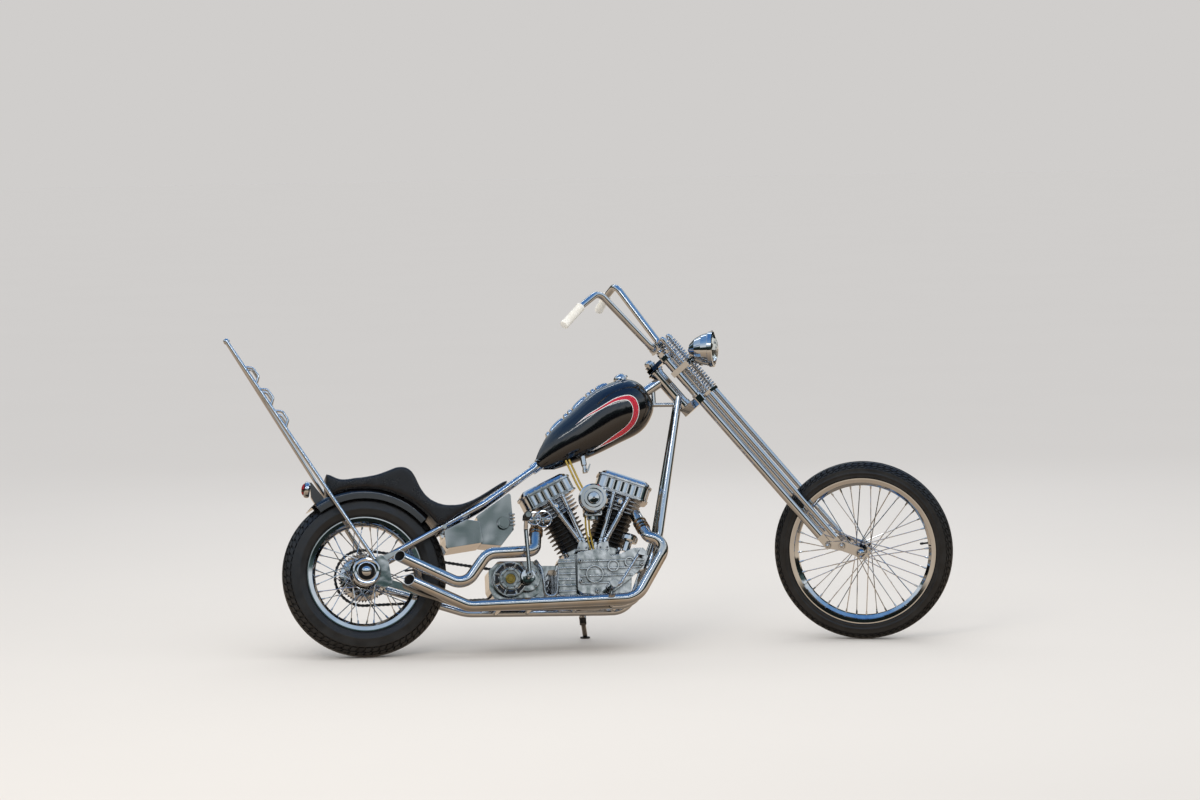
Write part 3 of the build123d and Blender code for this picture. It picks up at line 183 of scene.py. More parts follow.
@dataclass(frozen=True)
class Finish:
    """One real material and how its surface was made.

    Colours are sRGB. Clouds are slow changes in roughness and colour, such as polishing
    haze or dust, and grain is the surface's relief. Both have real sizes, but pits, pebbles
    and stipple are finer than a pixel, at 0.3 to 1 mm, and are drawn at 1.4 mm or more.
    """

    name: str
    slot: str                # the record's material slot that it belongs to
    colour: str
    cloud_colour: str
    roughness: float
    metallic: float = 0.0
    haze: float = 0.03
    cloud_mm: float = 40.0
    grain: Grain = Grain.RIPPLE
    grain_mm: float = 12.0
    grain_depth_mm: float = 0.01
    edge_mm: float = 0.0     # radius that catches light along the edges, where they are rounded
    shade_mm: float = 0.0    # reach of the painted shade that darkens corners and hollows, from ambient occlusion
    # colour that the painted shade in corners darkens toward
    shade_colour: str = "#1B1C1C"
    settings: tuple[tuple[str, float], ...] = ()

    def material(self) -> bpy.types.Material:
        """Make the material with its cloud and grain nodes and any painted shade in its corners,
        unless it is there already.

        Returns:
            The material.
        """
        if self.name in bpy.data.materials:
            return bpy.data.materials[self.name]
        material = bpy.data.materials.new(self.name)
        material.use_nodes = True
        material.diffuse_color = linear(self.colour)
        tree = material.node_tree
        shader = tree.nodes["Principled BSDF"]
        shader.inputs["Metallic"].default_value = self.metallic
        for socket, value in self.settings:
            shader.inputs[socket].default_value = value
        place = add_node(tree, "ShaderNodeTexCoord").outputs["Object"]
        cloud = add_node(tree, "ShaderNodeTexNoise", {
            "Vector": place, "Scale": 1 / (self.cloud_mm * MM), "Detail": 4.0, "Roughness": 0.6,
        })
        rough = add_node(tree, "ShaderNodeMapRange", {
            "Value": cloud.outputs["Fac"], "From Min": 0.3, "From Max": 0.7,
            "To Min": max(self.roughness - self.haze, 0.01), "To Max": self.roughness + self.haze,
        })
        tree.links.new(rough.outputs["Result"], shader.inputs["Roughness"])
        tint = add_node(tree, "ShaderNodeMapRange", {
            "Value": cloud.outputs["Fac"], "From Min": 0.35, "From Max": 0.75,
        })
        colour = add_node(tree, "ShaderNodeMix", {
            0: tint.outputs["Result"], 6: linear(self.colour), 7: linear(self.cloud_colour),
        }, data_type="RGBA")
        shown = colour.outputs[2]
        # Painted shade: ambient occlusion darkens corners and hollows toward the shade colour
        if self.shade_mm:
            openness = add_node(tree, "ShaderNodeAmbientOcclusion", {
                "Distance": self.shade_mm * MM,
            }, samples=6)
            unshaded = add_node(tree, "ShaderNodeMapRange", {
                "Value": openness.outputs["AO"], "From Min": 0.35, "From Max": 0.92,
            })
            shaded = add_node(tree, "ShaderNodeMix", {
                0: unshaded.outputs["Result"], 6: linear(self.shade_colour), 7: shown,
            }, data_type="RGBA")
            shown = shaded.outputs[2]
        tree.links.new(shown, shader.inputs["Base Color"])
        bump = add_node(tree, "ShaderNodeBump", {
            "Height": self.relief(tree, place), "Strength": 1.0,
            "Distance": self.grain_depth_mm * MM,
        })
        tree.links.new(bump.outputs["Normal"], shader.inputs["Normal"])
        if self.edge_mm:
            edge = add_node(tree, "ShaderNodeBevel", {"Radius": self.edge_mm * MM}, samples=4)
            tree.links.new(edge.outputs["Normal"], bump.inputs["Normal"])
        return material

    def relief(self, tree: bpy.types.NodeTree, place: bpy.types.NodeSocket) -> bpy.types.NodeSocket:
        """Height of the surface's own grain.

        Args:
            tree: Node tree of the material.
            place: Socket with the place on the object.

        Returns:
            Socket with a height from zero to about one.
        """
        scale = 1 / (self.grain_mm * MM)
        if self.grain is Grain.LEATHER:
            cells = add_node(tree, "ShaderNodeTexVoronoi", {
                "Vector": place, "Scale": scale,
            }, feature="DISTANCE_TO_EDGE")
            pebble = add_node(tree, "ShaderNodeMapRange", {
                "Value": cells.outputs["Distance"], "From Max": 0.22,
            }, interpolation_type="SMOOTHSTEP")
            crease = add_node(tree, "ShaderNodeTexNoise", {
                "Vector": place, "Scale": scale / 9, "Detail": 3.0,
            })
            both = add_node(tree, "ShaderNodeMath", {
                0: pebble.outputs["Result"], 1: crease.outputs["Fac"],
            }, operation="ADD")
            return both.outputs["Value"]
        detail = {Grain.CAST: 6.0, Grain.RIPPLE: 1.0, Grain.MOULDED: 3.0}[self.grain]
        noise = add_node(tree, "ShaderNodeTexNoise", {
            "Vector": place, "Scale": scale, "Detail": detail,
        })
        return noise.outputs["Fac"]


@dataclass(frozen=True)
class ClearFinish:
    """Material that light passes through, such as glass or a clear moulding."""

    name: str
    slot: str
    colour: str
    ior: float
    roughness: float
    ripple_mm: float = 30.0

    def material(self) -> bpy.types.Material:
        """Make the material, its surface a little uneven, unless it is there already.

        Returns:
            The material.
        """
        if self.name in bpy.data.materials:
            return bpy.data.materials[self.name]
        material = bpy.data.materials.new(self.name)
        material.use_nodes = True
        material.diffuse_color = linear(self.colour)
        tree = material.node_tree
        shader = tree.nodes["Principled BSDF"]
        shader.inputs["Base Color"].default_value = linear(self.colour)
        shader.inputs["Transmission Weight"].default_value = 1.0
        shader.inputs["IOR"].default_value = self.ior
        place = add_node(tree, "ShaderNodeTexCoord").outputs["Object"]
        cloud = add_node(tree, "ShaderNodeTexNoise", {
            "Vector": place, "Scale": 1 / (self.ripple_mm * MM),
        })
        rough = add_node(tree, "ShaderNodeMapRange", {
            "Value": cloud.outputs["Fac"], "To Min": self.roughness, "To Max": self.roughness * 2,
        })
        tree.links.new(rough.outputs["Result"], shader.inputs["Roughness"])
        return material


Swatch = Finish | ClearFinish

LACQUER = (("Coat Weight", 1.0), ("Coat Roughness", 0.02), ("IOR", 1.5))
RUBBER = (("IOR", 1.52),)

# Chromium over nickel, electroplated and mirror bright: hard-edged reflections, faint haze
CHROME = Finish(
    "chromium_plate_buffed", "chrome", "#D6D8DA", "#CACDD1", 0.04, metallic=1.0, haze=0.018,
    cloud_mm=60, grain_mm=30, grain_depth_mm=0.02,
)
# The same plate on cast and machined pieces, whose edges are rounded by buffing, with painted shade
# in their corners
CAST_CHROME = Finish(
    "chromium_plate_on_casting", "chrome", "#D6D8DA", "#C8CBD0", 0.05, metallic=1.0, haze=0.02,
    cloud_mm=40, grain_mm=40, grain_depth_mm=0.3, edge_mm=1.2, shade_mm=9,
)
# The same plate on folded sheet, which never lies quite flat: the mirrored shapes bend slowly;
# painted shade in its corners
SHEET_CHROME = Finish(
    "chromium_plate_on_sheet", "chrome", "#D6D8DA", "#C8CBD0", 0.045, metallic=1.0, haze=0.02,
    cloud_mm=60, grain_mm=130, grain_depth_mm=1.2, edge_mm=1.5, shade_mm=8,
)
# The same plate on a pipe that gets hot: a faint straw tint comes and goes along it
PIPE_CHROME = Finish(
    "chromium_plate_heated", "chrome", "#D2D2D3", "#C9C0B2", 0.06, metallic=1.0, haze=0.03,
    cloud_mm=120, grain_mm=40, grain_depth_mm=0.02,
)
# Header chrome where the port's heat has browned it: straw to bronze
TANNED = Finish(
    "chromium_plate_browned", "chrome", "#9A846C", "#BBA990", 0.14, metallic=1.0, haze=0.05,
    cloud_mm=14, grain_mm=10, grain_depth_mm=0.02, edge_mm=0.6,
)
# Sand-cast aluminium, filed and buffed by hand: bright but softly wavy, with painted shade in its
# corners
ALUMINIUM = Finish(
    "aluminium_cast_buffed", "polished_aluminium", "#DEDFE0", "#C9CBCE", 0.09, metallic=1.0,
    haze=0.04, cloud_mm=18, grain_mm=34, grain_depth_mm=0.5, edge_mm=1.6, shade_mm=13,
    shade_colour="#2C3638",
)
# Heads under silver heat paint: satin bright fin edges, painted shade between the fins
IRON = Finish(
    "cast_iron_silver_painted", "cast_iron", "#CFD0D2", "#B2B3B5", 0.28, metallic=1.0, haze=0.08,
    cloud_mm=14, grain=Grain.CAST, grain_mm=1.6, grain_depth_mm=0.1, edge_mm=0.8, shade_mm=12,
    shade_colour="#0C0C0C",
)
# Barrels under black heat paint: satin black, grainy, a grey line along each fin
DARK_IRON = Finish(
    "cast_iron_black_painted", "cast_iron", "#121213", "#1D1D1E", 0.38, haze=0.08, cloud_mm=16,
    grain=Grain.CAST, grain_mm=1.6, grain_depth_mm=0.1, edge_mm=0.9, settings=(("IOR", 1.5),),
)
# Black enamel, sprayed, flatted and lacquered: deep black under a clear wet gloss
BLACK = Finish(
    "enamel_black_lacquered", "black_paint", "#060608", "#0A0A0E", 0.12, haze=0.02, cloud_mm=200,
    grain_mm=60, grain_depth_mm=0.02, settings=LACQUER,
)
# Red pigment under the same lacquer, brighter where the band is thickest
RED = Finish(
    "enamel_red_lacquered", "black_paint", "#C4122B", "#A40D24", 0.14, haze=0.02, cloud_mm=90,
    grain_mm=60, grain_depth_mm=0.02, settings=LACQUER,
)
# White signwriter's enamel, brushed on by hand: a thin opaque line
WHITE = Finish(
    "enamel_white_striped", "black_paint", "#E6E6E4", "#D8D8D6", 0.18, haze=0.03, cloud_mm=20,
    grain_mm=4, grain_depth_mm=0.02, settings=(("Coat Weight", 1.0), ("Coat Roughness", 0.03)),
)
# Mild steel, oiled: dark grey metal with a greasy satin
STEEL = Finish(
    "steel_mild_oiled", "black_steel", "#4A4A4C", "#2E2C2A", 0.34, metallic=1.0, haze=0.1,
    cloud_mm=22, grain=Grain.CAST, grain_mm=2.5, grain_depth_mm=0.05,
)
# Cowhide, chrome tanned and finished black: fine pebbles, a soft sheen on the crowns
LEATHER = Finish(
    "leather_cowhide_black", "black_leather", "#0C0C0E", "#151517", 0.29, haze=0.07, cloud_mm=70,
    grain=Grain.LEATHER, grain_mm=2.2, grain_depth_mm=0.16,
    settings=(("IOR", 1.48), ("Sheen Weight", 0.08), ("Sheen Roughness", 0.4)),
)
# Vulcanised natural rubber with carbon black: matt, greyed by dust in clouds, painted shade in its
# grooves
TYRE = Finish(
    "rubber_vulcanised_tyre", "tyre_rubber", "#121213", "#242321", 0.48, haze=0.12, cloud_mm=45,
    grain=Grain.MOULDED, grain_mm=1.8, grain_depth_mm=0.05, edge_mm=0.8, shade_mm=7,
    shade_colour="#030303", settings=RUBBER,
)
# Rubber pad or seal, moulded: matt black
PAD = Finish(
    "rubber_moulded_black", "black_rubber", "#161616", "#222120", 0.55, haze=0.08, cloud_mm=20,
    grain=Grain.MOULDED, grain_mm=1.5, grain_depth_mm=0.04, settings=RUBBER,
)
# Pale moulded rubber grips: ivory, satin
IVORY = Finish(
    "rubber_moulded_ivory", "white_rubber", "#E9E7E0", "#DAD6CB", 0.36, haze=0.06, cloud_mm=18,
    grain=Grain.MOULDED, grain_mm=1.5, grain_depth_mm=0.03, settings=(("IOR", 1.5),),
)
# Stainless wire braided over a hose, drawn coarser than its 0.3 mm wires: a broken sheen
BRAIDED = Finish(
    "steel_stainless_braided", "chrome", "#C4C6C8", "#9EA1A4", 0.22, metallic=1.0, haze=0.08,
    cloud_mm=5, grain=Grain.CAST, grain_mm=1.4, grain_depth_mm=0.3,
)
# Brass, turned and left bare: warm yellow, semi-bright
BRIGHT_BRASS = Finish(
    "brass_turned", "brass", "#B49A55", "#94803F", 0.2, metallic=1.0, haze=0.06, cloud_mm=12,
    grain_mm=6, grain_depth_mm=0.02,
)
# Vinyl fuel hose, extruded, gone amber: olive yellow with a smooth skin
HOSE = Finish(
    "vinyl_hose_amber", "brass", "#A98F38", "#8E7A2A", 0.25, haze=0.05, cloud_mm=14, grain_mm=8,
    grain_depth_mm=0.03, settings=(("IOR", 1.53),),
)
# Near-black matte: soot inside the exhaust tips, and painted shade on the floors of screw sockets
# and of the hub cover's ring
HOLE = Finish(
    "carbon_soot", "black_steel", "#0B0A0A", "#151312", 0.85, haze=0.05, cloud_mm=10,
    grain=Grain.CAST, grain_mm=1.5, grain_depth_mm=0.05,
)
# Pressed soda-lime glass of a lamp: clear, faint green cast
GLASS = ClearFinish("glass_soda_lime_pressed", "lamp_glass", "#EEF4F2", 1.52, 0.02)
# Acrylic lens, moulded red: deep glow with a gloss skin
RED_LENS = ClearFinish("acrylic_moulded_red", "red_lens", "#C81420", 1.49, 0.05)


# Which finish each CAD node takes, also where a piece of the scene stands for it
NODE_FINISH = {
    CHROME: (
        "air_cleaner", "fork_front_legs", "fork_rear_legs", "fork_springs", "frame_backbone",
        "frame_cross_members", "frame_downtubes", "frame_lower_rails", "frame_upper_stays",
        "front_axle", "front_hub", "front_rim", "generator", "handlebar", "headlamp_shell",
        "oil_tank_cap", "pushrod_tubes", "rear_axle", "rear_hub", "rear_rim", "sissy_bar",
        "tank_cap", "timer",
    ),
    CAST_CHROME: (
        "axle_plates", "foot_controls", "foot_pegs", "fork_rockers", "fork_trees",
        "headlamp_bracket", "kick_lever", "primary_cover", "rear_brake_drum", "risers",
        "rocker_covers", "spring_yoke", "tappet_blocks",
    ),
    SHEET_CHROME: ("oil_tank",),
    PIPE_CHROME: (
        "exhaust_front_header", "exhaust_front_tail", "exhaust_rear_header", "exhaust_rear_tail",
    ),
    ALUMINIUM: ("cam_cover", "crankcase", "gearbox", "carburettor"),
    IRON: ("cylinder_heads",),
    DARK_IRON: ("cylinders",),
    BLACK: ("fuel_tank", "rear_fender"),
    STEEL: ("side_stand", "rear_sprocket", "drive_chain"),
    LEATHER: ("seat",),
    TYRE: ("front_tyre", "rear_tyre"),
    IVORY: ("grips",),
    GLASS: ("headlamp_lens",),
    RED_LENS: ("tail_lamp",),
    HOSE: ("fuel_lines",),
}


# ---------------------------------------------------------------- drawing


def skin(loops: Sequence[Sequence[Vector]], around: bool = False, caps: bool = True) -> Drawn:
    """Join loops of points with quads.

    Args:
        loops: Loops with the same number of points, each closed on itself.
        around: Also joins the last loop to the first.
        caps: Closes the first and last loop with a flat face.

    Returns:
        Points and faces.
    """
    count = len(loops[0])
    faces: list[tuple[int, ...]] = []
    for i in range(len(loops) if around else len(loops) - 1):
        a, b = i * count, (i + 1) % len(loops) * count
        faces += [(a + k, a + (k + 1) % count, b + (k + 1) % count, b + k) for k in range(count)]
    if caps and not around:
        last = (len(loops) - 1) * count
        faces.append(tuple(reversed(range(count))))
        faces.append(tuple(range(last, last + count)))
    return [p for loop in loops for p in loop], faces


def turns(steps: int) -> list[float]:
    """Even angles once round, in radians."""
    return [2 * math.pi * k / steps for k in range(steps)]


def basis(direction: Point) -> tuple[Vector, Vector, Vector]:
    """Two directions square to a line, and the line's own.

    Args:
        direction: The line's direction, of any length.

    Returns:
        Side, up and along, each of length one.
    """
    along = Vector(direction).normalized()
    side = along.orthogonal().normalized()
    return side, along.cross(side), along


def rod(radius: float, low: float, high: float) -> list[Point]:
    """Outline of a plain round bar between two heights, for the lathe."""
    return [(0, low), (radius, low), (radius, high), (0, high)]


def lathe(outline: Sequence[Point], centre: Point, direction: Point, steps: int) -> Drawn:
    """Turn an outline of radius and height round a line.

    Args:
        outline: Radius and height pairs. A run that starts and ends on the line, at radius
            zero, is a solid; any other is a ring that closes on itself.
        centre: Point at height zero.
        direction: The line's direction.
        steps: Sides round the line.

    Returns:
        Points and faces.
    """
    side, up, along = basis(direction)
    middle = Vector(centre)
    solid = outline[0][0] == 0 and outline[-1][0] == 0
    rows = outline[1:-1] if solid else outline
    angles = turns(steps)
    loops = [
        [middle + along * h + (side * math.cos(t) + up * math.sin(t)) * r for t in angles]
        for r, h in rows
    ]
    if not solid:
        return skin(loops, around=True)
    points, faces = skin(loops, caps=False)
    for row, end, flip in ((0, outline[0], True), (len(loops) - 1, outline[-1], False)):
        apex = len(points)
        points.append(middle + along * end[1])
        for k in range(steps):
            a, b = row * steps + k, row * steps + (k + 1) % steps
            faces.append((b, a, apex) if flip else (a, b, apex))
    return points, faces


def rounded(corners: Sequence[Point], reach: float, steps: int) -> list[Vector]:
    """Path along straight runs with its corners rounded.

    Args:
        corners: The corners of the path.
        reach: How far from a corner its bend begins.
        steps: Points in each bend.

    Returns:
        Points along the path.
    """
    nearest = 0.48     # share of a run that a bend may take, so that two bends never meet
    spots = [Vector(c) for c in corners]
    path = [spots[0]]
    for before, at, after in zip(spots, spots[1:], spots[2:]):
        back, on = before - at, after - at
        start = at + back.normalized() * min(reach, back.length * nearest)
        end = at + on.normalized() * min(reach, on.length * nearest)
        for k in range(steps + 1):
            t = k / steps
            path.append(start * (1 - t) ** 2 + at * 2 * t * (1 - t) + end * t ** 2)
    return path + [spots[-1]]


def pipe(path: Sequence[Point], radius: float, steps: int, around: bool = False) -> Drawn:
    """Round bar along a path.

    Args:
        path: Points along its middle.
        radius: Its radius.
        steps: Sides round it.
        around: The path closes on itself.

    Returns:
        Points and faces.
    """
    spots = [Vector(p) for p in path]
    count = len(spots)
    heads = []
    for i in range(count):
        if around:
            heads.append((spots[(i + 1) % count] - spots[i - 1]).normalized())
        else:
            heads.append((spots[min(i + 1, count - 1)] - spots[max(i - 1, 0)]).normalized())
    side = heads[0].orthogonal().normalized()
    loops = []
    for spot, head in zip(spots, heads):
        side = (side - head * side.dot(head)).normalized()
        up = head.cross(side)
        loops.append(
            [spot + (side * math.cos(a) + up * math.sin(a)) * radius for a in turns(steps)]
        )
    return skin(loops, around=around)


def prism(outline: Sequence[Point], low: float, high: float, place: Matrix) -> Drawn:
    """Flat plate drawn in its own X and Y, between two heights.

    Args:
        outline: Corners, counter-clockwise seen from above.
        low: Height of the under face.
        high: Height of the top face.
        place: Plate's own frame to the drawing's.

    Returns:
        Points and faces.
    """
    loops = [[place @ Vector((x, y, z)) for x, y in outline] for z in (low, high)]
    return skin(loops)


def side_place(y: float) -> Matrix:
    """Frame whose X and Y are the bike's X and Z, facing the right side, at one width."""
    return Matrix(((1, 0, 0, 0), (0, 0, -1, y), (0, 1, 0, 0), (0, 0, 0, 1)))


def show_edges(mesh: bpy.types.Mesh, sharp: float = SHARP_EDGE) -> None:
    """Shade a mesh smooth, but for the edges of at least this many degrees."""
    mesh.shade_smooth()
    mesh.set_sharp_from_angle(angle=math.radians(sharp))


def add_object(name: str, data: bpy.types.ID) -> bpy.types.Object:
    """Put a mesh, lamp or camera into the scene under a name.

    Args:
        name: Name of the object.
        data: The mesh, lamp or camera.

    Returns:
        The object.
    """
    obj = bpy.data.objects.new(name, data)
    bpy.context.scene.collection.objects.link(obj)
    return obj


def stand_for(obj: bpy.types.Object, node: str, swatch: Swatch) -> None:
    """Dress a reworked copy of a chassis node's mesh, and let it replace the node.

    Args:
        obj: The copy.
        node: CAD node that it stands for.
        swatch: Its finish.
    """
    obj.data.materials.clear()
    obj.data.materials.append(swatch.material())
    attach(obj, Body.CHASSIS.value)
    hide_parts(node)
    log.info("%s rides on chassis: %d faces", obj.name, len(obj.data.polygons))


@dataclass
class Shape:
    """Faces drawn in millimetres in one placement, for one object."""

    place: Matrix = field(default_factory=lambda: STANCE.bike)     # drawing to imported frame
    points: list[Vector] = field(default_factory=list)
    faces: list[tuple[int, ...]] = field(default_factory=list)
    paint: list[int] = field(default_factory=list)

    def add(self, drawn: Drawn, paint: int = 0) -> None:
        """Add points and faces, in one of the object's finishes.

        Args:
            drawn: Points and faces.
            paint: Number of the finish.
        """
        points, faces = drawn
        base = len(self.points)
        self.points += points
        self.faces += [tuple(base + i for i in face) for face in faces]
        self.paint += [paint] * len(faces)

    @staticmethod
    def sunk(centre: Point, direction: Point) -> Vector:
        """Foot of a fastener, a little under the surface that it sits on."""
        return Vector(centre) - Vector(direction).normalized() * 1.5

    def bolt(self, centre: Point, direction: Point, across: float, height: float) -> None:
        """Add a hexagon head with chamfered corners on a washer.

        Args:
            centre: Where it sits.
            direction: The way it points.
            across: Width of the head.
            height: Height of the head's walls.
        """
        r, foot = across / 2, self.sunk(centre, direction)
        washer = [(0, 0), (r * 1.35, 0), (r * 1.35, 2.6), (r * 1.2, 3.1), (0, 3.1)]
        head = [(0, 3), (r * 1.12, 3), (r * 1.12, height), (r * 0.96, height + 1.5),
                (0, height + 1.5)]
        self.add(lathe(washer, foot, direction, 20))
        self.add(lathe(head, foot, direction, HEXAGON))

    def dome_nut(self, centre: Point, direction: Point, across: float, height: float) -> None:
        """Add a hexagon nut with a round closed end.

        Args:
            centre: Where it sits.
            direction: The way it points.
            across: Width of the hexagon.
            height: Height of the whole nut.
        """
        r, foot = across / 2, self.sunk(centre, direction)
        washer, wall = rod(r * 1.35, 0, 3), rod(r * 1.1, 2.8, height * 0.5)
        self.add(lathe(washer, foot, direction, 20))
        self.add(lathe(wall, foot, direction, HEXAGON))
        dome = [(0, height * 0.4), (r * 0.98, height * 0.4)]
        dome += [(r * 0.98 * math.cos(a), height * 0.55 + (height * 0.45) * math.sin(a))
                 for a in (0.0, 0.35, 0.7, 1.05, 1.35)]
        self.add(lathe(dome + [(0, height)], foot, direction, 20))

    def socket_screw(self, centre: Point, direction: Point, radius: float, height: float) -> None:
        """Add a round head in the first finish, with a hexagon at its socket's floor in the second,
        as painted shade in the socket.

        Args:
            centre: Where it sits.
            direction: The way it points.
            radius: Radius of the head.
            height: Height of the head over the surface.
        """
        foot, top, bore = self.sunk(centre, direction), height + 1.5, radius * 0.6
        head = [(0, 0), (radius, 0), (radius, top - 1), (radius - 1, top), (bore, top),
                (bore, top - 3), (0, top - 3)]
        self.add(lathe(head, foot, direction, 24), 0)
        # Near-black hexagon on the socket's floor: painted shade at the bottom of the bore
        self.add(lathe(rod(radius * 0.56, top - 3.2, top - 2.2), foot, direction, HEXAGON), 1)

    def build(
        self, name: str, *swatches: Swatch, body: Body = Body.CHASSIS,
        replaces: Iterable[str] = (), sharp: float = SHARP_EDGE,
    ) -> bpy.types.Object:
        """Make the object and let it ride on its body.

        Args:
            name: Name of the piece.
            swatches: Its finishes, in the order of the paint numbers.
            body: CAD body that it moves with.
            replaces: CAD nodes that it stands for.
            sharp: Edges sharper than this many degrees stay sharp.

        Returns:
            The object.
        """
        mesh = bpy.data.meshes.new(name)
        mesh.from_pydata([self.place @ p for p in self.points], [], self.faces)
        for swatch in swatches:
            mesh.materials.append(swatch.material())
        mesh.polygons.foreach_set("material_index", self.paint)
        work = bmesh.new()
        work.from_mesh(mesh)
        bmesh.ops.recalc_face_normals(work, faces=work.faces)
        work.to_mesh(mesh)
        work.free()
        show_edges(mesh, sharp)
        obj = add_object(name, mesh)
        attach(obj, body.value)
        if replaces:
            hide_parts(*replaces)
        log.info("%s rides on %s: %d faces", name, body.value, len(self.faces))
        return obj


class Surface:
    """A piece's surface in a drawing's millimetres, to lay trim on."""

    def __init__(self, obj: bpy.types.Object, place: Matrix) -> None:
        """Read the piece's mesh.

        Args:
            obj: The piece.
            place: The drawing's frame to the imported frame.
        """
        mesh = obj.data
        back = place.inverted()
        self.tree = BVHTree.FromPolygons(
            [back @ v.co for v in mesh.vertices], [tuple(p.vertices) for p in mesh.polygons]
        )

    def drop(self, start: Point, direction: Point) -> tuple[Vector, Vector] | None:
        """First point that a line meets.

        Args:
            start: Where the line starts.
            direction: The way it runs.

        Returns:
            The point and the surface's outward direction there, or None if it misses.
        """
        line = Vector(direction).normalized()
        spot, normal, _, _ = self.tree.ray_cast(Vector(start), line)
        if spot is None:
            return None
        return spot, (-normal if normal.dot(line) > 0 else normal)


def slash(obj: bpy.types.Object, spot: Vector, normal: Vector) -> None:
    """Cut a hollow pipe's end off along a plane, and close the ring that is left.

    Args:
        obj: Piece with a hollow end.
        spot: Point of the plane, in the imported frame.
        normal: Points to the side that goes.
    """
    work = bmesh.new()
    work.from_mesh(obj.data)
    bmesh.ops.remove_doubles(work, verts=work.verts, dist=WELD)
    cut = bmesh.ops.bisect_plane(
        work, geom=work.verts[:] + work.edges[:] + work.faces[:],
        plane_co=spot, plane_no=normal, clear_outer=True,
    )
    rims = [edge for edge in cut["geom_cut"] if isinstance(edge, bmesh.types.BMEdge)]
    bmesh.ops.bridge_loops(work, edges=rims)
    bmesh.ops.recalc_face_normals(work, faces=work.faces)
    work.to_mesh(obj.data)
    work.free()
    show_edges(obj.data)


# ---------------------------------------------------------------- wheels


@dataclass
class TyreCasing:
    """Tyre of round section: carcass with sidewall rings, ribs and shoulder blocks."""

    name: str
    node: str
    body: Body
    place: Matrix
    ring: float            # radius of the section's middle circle
    section: float
    flange: float
    half_rim: float
    bead: float
    groove: float          # tread depth
    ribs: tuple[Triple, ...]   # degrees from the crown, zigzag
    blocks: tuple[tuple[float, float, int, float], ...]   # degrees from the crown, pitches, fill
    skew: float = 1.2      # how far a block's outer edge leads, in degrees round the axle
    crest: float = 0.15    # how far the tread stays below the section's radius
    root: float = 1.2      # how far ribs and blocks reach into the carcass
    steps: int = 240

    def spot(self, off: float, turn: float, size: float) -> Vector:
        """Point on the tyre.

        Args:
            off: Degrees off the crown, positive to the left.
            turn: Degrees round the axle.
            size: Distance from the section's middle circle.

        Returns:
            The point, round the Y axis.
        """
        a, t = math.radians(off), math.radians(turn)
        r = self.ring + size * math.cos(a)
        return Vector((r * math.cos(t), size * math.sin(a), r * math.sin(t)))

    def half_profile(self) -> list[Pair]:
        """Outline of one side.

        Returns:
            Radius and width pairs, from the crown to the bead.
        """
        s, g = self.section, self.section - self.groove
        shoulder = self.blocks[-1][1] + 1.5
        # Degrees off the crown and distance: carcass under the tread, shoulder, sidewall ring
        section = [(a, g) for a in range(0, int(shoulder), 6)] + [
            (shoulder, g), (shoulder + 2, s - 1.4), (shoulder + 6, s - 1.0),
            (shoulder + 8, s - 1.8), (84, s - 1.6), (88, s - 1.2), (90, s - 0.2), (95, s - 0.2),
            (97, s - 1.2), (106, s - 1.8), (114, s - 2.6),
        ]
        rows = [(self.ring + d * math.cos(math.radians(a)), d * math.sin(math.radians(a)))
                for a, d in section]
        above_rim = [row for row in rows if row[0] > self.flange + 7]
        return above_rim + [
            (self.flange + 6, self.half_rim + 5), (self.flange + 3.2, self.half_rim + 3.2),
            (self.flange + 2.2, self.half_rim - 1.5), (self.flange - 2, self.half_rim - 5.2),
            (self.bead + 0.5, self.half_rim - 5.4),
        ]

    def block(self, shape: Shape, low: float, high: float, start: float, end: float) -> None:
        """Add one tread block.

        Args:
            shape: Drawing that gets the block.
            low: Edge nearer the crown, in degrees off it.
            high: Edge nearer the sidewall.
            start: First degree round the axle.
            end: Last degree round the axle.
        """
        offs = [low + (high - low) * k / 4 for k in range(5)]
        loops = []
        for i in range(3):
            top, bottom = [], []
            for off in offs:
                lead = self.skew * (off - low) / (high - low)
                turn = start + (end - start) * i / 2 + lead
                top.append(self.spot(off, turn, self.section - self.crest))
                bottom.append(self.spot(off, turn, self.section - self.groove - self.root))
            loops.append(top + bottom[::-1])
        shape.add(skin(loops))

    def rib(self, shape: Shape, low: float, high: float, zigzag: float) -> None:
        """Add one rib that runs all the way round.

        Args:
            shape: Drawing that gets the rib.
            low: One edge, in degrees off the crown.
            high: The other edge.
            zigzag: How far both swing from side to side.
        """
        loops = []
        for i in range(self.steps):
            turn = 360 * i / self.steps
            swing = zigzag * (1 - abs(i % 4 - 2))
            edge = [low + swing, low + swing + (high - low) * 0.5, high + swing]
            top = [self.spot(e, turn, self.section - self.crest) for e in edge]
            foot = self.section - self.groove - self.root
            loops.append(top + [self.spot(e, turn, foot) for e in reversed(edge)])
        shape.add(skin(loops, around=True))

    def build(self) -> None:
        """Make the tyre in place of its CAD node."""
        shape = Shape(self.place)
        half = self.half_profile()
        outline = [(r, -y) for r, y in half[::-1]] + half[1:]
        shape.add(lathe(outline, (0, 0, 0), LEFT, self.steps))
        for low, high, zigzag in self.ribs:
            self.rib(shape, low, high, zigzag)
        for low, high, pitches, fill in self.blocks:
            for side in (-1, 1):
                for k in range(pitches):
                    start = 360 * (k + (0.5 if side > 0 else 0)) / pitches
                    end = start + 360 * fill / pitches
                    self.block(shape, side * low, side * high, start, end)
        shape.build(self.name, TYRE, body=self.body, replaces=[self.node])


